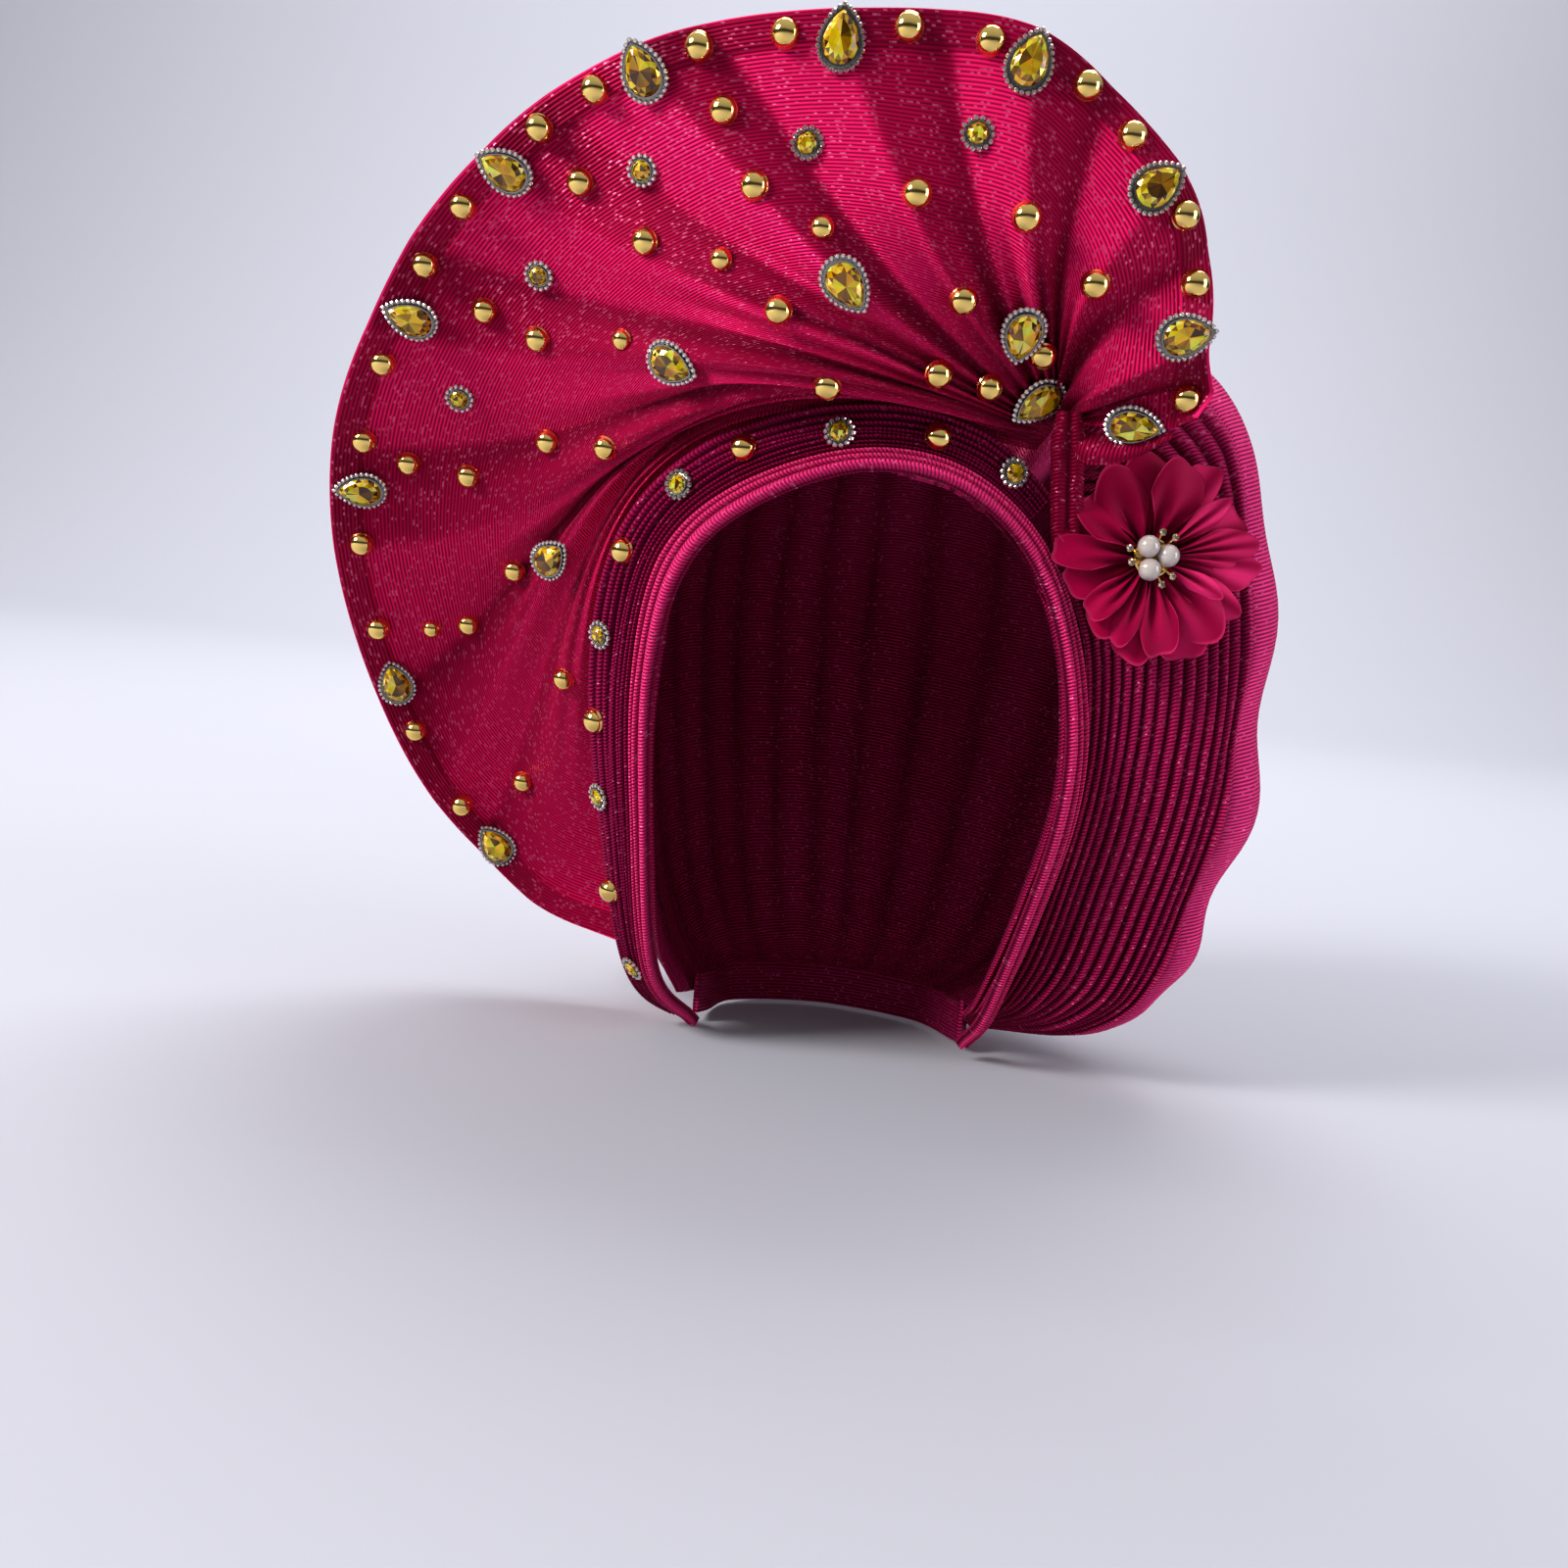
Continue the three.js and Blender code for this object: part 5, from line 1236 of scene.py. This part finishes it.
# %% Brooch
PEARL_RADIUS, PEARL_FROM = 3.5 * MM, 4.1 * MM
PLATE_TOP = 6.2 * MM
BROOCH_PEARLS = [130, 14, 249]
BROOCH_STONES = [(81, 8.1), (51, 8.7), (167, 8.9), (196, 7.9), (-40, 7.9), (-70, 8.5)]  # degrees, mm
WIRE, PRONG_REACH = 0.38 * MM, 1.1 * MM
BALL = [(PEARL_RADIUS * math.cos(a), PEARL_RADIUS * math.sin(a))
        for a in np.radians(np.linspace(-78, 84, 14))]
CUP = [(0.5 * MM, -0.9 * MM), (0.9 * MM, 0.0), (1.15 * MM, 0.6 * MM), (0.95 * MM, 0.65 * MM)]
GEM = [(0.95 * MM, 0.4 * MM), (1.05 * MM, 0.8 * MM), (0.6 * MM, 1.3 * MM)]
PRONG = [(0.22 * MM, -0.5 * MM), (0.22 * MM, 1.1 * MM), (0.12 * MM, 1.25 * MM)]
PLATE = [(5.6 * MM, 0), (6 * MM, 0.2 * MM), (6 * MM, 1 * MM), (5.6 * MM, 1.2 * MM)]


def sideways(angle, out):
    turn = math.radians(angle)
    return flower_along * out * math.cos(turn) + flower_across * out * math.sin(turn)


def flower_point(angle, out, height):
    return flower_spot[0] + sideways(angle, out) + FLOWER_FACING * height


def gather_forms(name, rows, material, smooth=False):
    """Joins turned forms; rows are profile, sides, foot and the normal that each stands along."""
    points, faces = [], []
    for profile, sides, foot, normal in rows:
        spots, loops = turned_form(profile, sides)
        turn = Vector((0, 0, 1)).rotation_difference(Vector(normal)).to_matrix()
        faces += [[i + len(points) for i in loop] for loop in loops]
        points += [tuple(turn @ Vector(spot) + Vector(foot)) for spot in spots]
    return new_piece(name, points, faces, material, smooth)


pearls = gather_forms("brooch_pearls", [
    (BALL, 28, flower_point(angle, PEARL_FROM, PLATE_TOP + 0.72 * PEARL_RADIUS), FLOWER_FACING)
    for angle in BROOCH_PEARLS], pearl, True)
metal_rows = [(PLATE, 32, flower_point(0, 0, PLATE_TOP - 1.2 * MM), FLOWER_FACING)]
gem_rows = []
for angle, out in BROOCH_STONES:
    top = flower_point(angle, out * MM, PLATE_TOP + 2 * MM)
    foot = flower_point(angle, 3 * MM, PLATE_TOP - 0.4 * MM)
    metal_rows.append(([(WIRE, 0), (WIRE, np.linalg.norm(top - foot))], 8, foot, unit(top - foot)))
    metal_rows.append((CUP, 10, top, FLOWER_FACING))
    metal_rows += [(PRONG, 6, top + sideways(angle + quarter, PRONG_REACH), FLOWER_FACING)
                   for quarter in (45, 135, 225, 315)]
    gem_rows.append((GEM, 8, top, FLOWER_FACING))
brooch_gold = gather_forms("brooch_gold", metal_rows, gold)
brooch_gems = gather_forms("brooch_gems", gem_rows, crystal)

# %% [markdown]
# ## The stage
# A plain pale floor that curves up behind, wide soft lamps and a pale world. The key lamp stands high
# in front on the left, as in a small product studio, with a weaker one on the right. Polished metal
# shows what stands round it, so its reflections get a dark horizon under a light ceiling, while the
# camera itself sees an even pale tone past the paper.

# %% Floor
FLOOR_Z = cad_low.z - 0.0005
HALF_WIDTH, FRONT_END, BEND_START, BEND, PAPER_TOP = 2.6, -2.4, 1.6, 1.2, 3.2
sweep = [(FRONT_END, 0.0), (BEND_START, 0.0)] + [
    (BEND_START + BEND * math.sin(a), BEND - BEND * math.cos(a)) for a in np.radians(np.linspace(6, 90, 15))
] + [(BEND_START + BEND, PAPER_TOP)]
stage_points = [(x, y, FLOOR_Z + z) for x in (-HALF_WIDTH, HALF_WIDTH) for y, z in sweep]
stage_faces = [[i, i + 1, i + 1 + len(sweep), i + len(sweep)] for i in range(len(sweep) - 1)]
pale_paper, paper_tree, paper_shader = new_material("pale_paper")
mottle = times(paper_tree, noise(paper_tree, object_place(paper_tree), 3.0), 0.3)
fill(paper_tree, paper_shader, {
    "Base Color": mix_colour(paper_tree, mottle, (0.42, 0.42, 0.47, 1), (0.38, 0.40, 0.44, 1)),
    "Roughness": 0.9})
backdrop = new_piece("backdrop", stage_points, stage_faces, pale_paper)

# %% World and lamps
SKY_STOPS = [(0.0, 0.5), (0.42, 0.3), (0.49, 0.06), (0.58, 0.08), (0.66, 0.6), (1.0, 1.0)]
world = bpy.data.worlds.new("studio")
world.use_nodes = True
sky_tree = world.node_tree
view = node(sky_tree, "ShaderNodeTexCoord").outputs["Generated"]
sky = node(sky_tree, "ShaderNodeSeparateXYZ", {0: view}).outputs[2]
dusk = colour_ramp(sky_tree, maths(sky_tree, "MULTIPLY_ADD", sky, 0.5, 0.5),
                   [(place, (0.95 * tone, 0.97 * tone, 1.05 * tone)) for place, tone in SKY_STOPS])
seen = node(sky_tree, "ShaderNodeLightPath").outputs["Is Camera Ray"]
fill(sky_tree, sky_tree.nodes["Background"].inputs, {
    "Color": mix_colour(sky_tree, seen, dusk, (1.0, 1.02, 1.1, 1)), "Strength": 0.6})
bpy.context.scene.world = world


def lamp(name, place, target, size, power, colour=(1, 1, 1)):
    data = bpy.data.lights.new(name, "AREA")
    data.shape, data.size, data.size_y = "RECTANGLE", size[0], size[1]
    data.energy, data.color = power, colour
    made = put_in_scene(name, data)
    made.location = place
    made.rotation_mode = "QUATERNION"
    made.rotation_quaternion = (Vector(target) - Vector(place)).to_track_quat("-Z", "Y")


CENTRE = (-0.02, -0.02, -0.07)
lamp("key", (-1.45, -0.8, 0.8), CENTRE, (0.6, 0.6), 44, (1.0, 0.98, 0.96))
lamp("fill", (1.45, -0.45, 0.15), CENTRE, (0.6, 1.1), 12, (0.93, 0.95, 1.0))
lamp("top", (0.1, 0.5, 1.5), CENTRE, (1.2, 0.8), 16)
lamp("paper", (0, 1.0, 1.6), (0, 2.6, 0.2), (2.4, 0.8), 60)

# %% [markdown]
# ## Say what each piece is
# Each piece rides on the one body and stands for the CAD nodes that it replaces; its row in the
# table also names its slot of the record.

# %% Ride and replace


def numbered(name, first, last):
    return [f"{name}_{i:02d}" for i in range(first, last + 1)]


PIECES = [
    (fan, "fan_cloth", ["fan"]), (band, "band_cloth", ["forehead_pleats"]),
    (brim, "brim_cloth", ["face_brim"]), (cap, "cap_cloth", ["cap_panel", "cap_back"]),
    (nape, "cap_cloth", ["nape_band"]), (petals_lower, "petal_chiffon", ["flower_petals_lower"]),
    (petals_upper, "petal_chiffon", ["flower_petals_upper"]),
    (tucked_folds, "fan_cloth", []), (tucked_flap, "fan_cloth", []),
    (pearls, "brooch_pearl", ["flower_brooch"]), (brooch_gold, "gold_stud", []),
    (brooch_gems, "brooch_pearl", []), (rim_studs, "gold_stud", numbered("rim_stud", 1, 19)),
    (field_studs, "gold_stud", []), (band_studs, "gold_stud", numbered("band_stud", 1, 5)),
    (teardrop_stones, "amber_stone", numbered("teardrop_stone", 1, 16)),
    (round_stones, "amber_stone", numbered("round_stone", 1, 11)),
    (teardrop_settings, "amber_stone", []), (round_settings, "amber_stone", []),
    (teardrop_borders, "amber_stone", []), (round_borders, "amber_stone", []),
]
for piece, slot, nodes in PIECES:
    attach(piece, "root")
    if nodes:
        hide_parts(*nodes)

print("pieces:", len(PIECES))
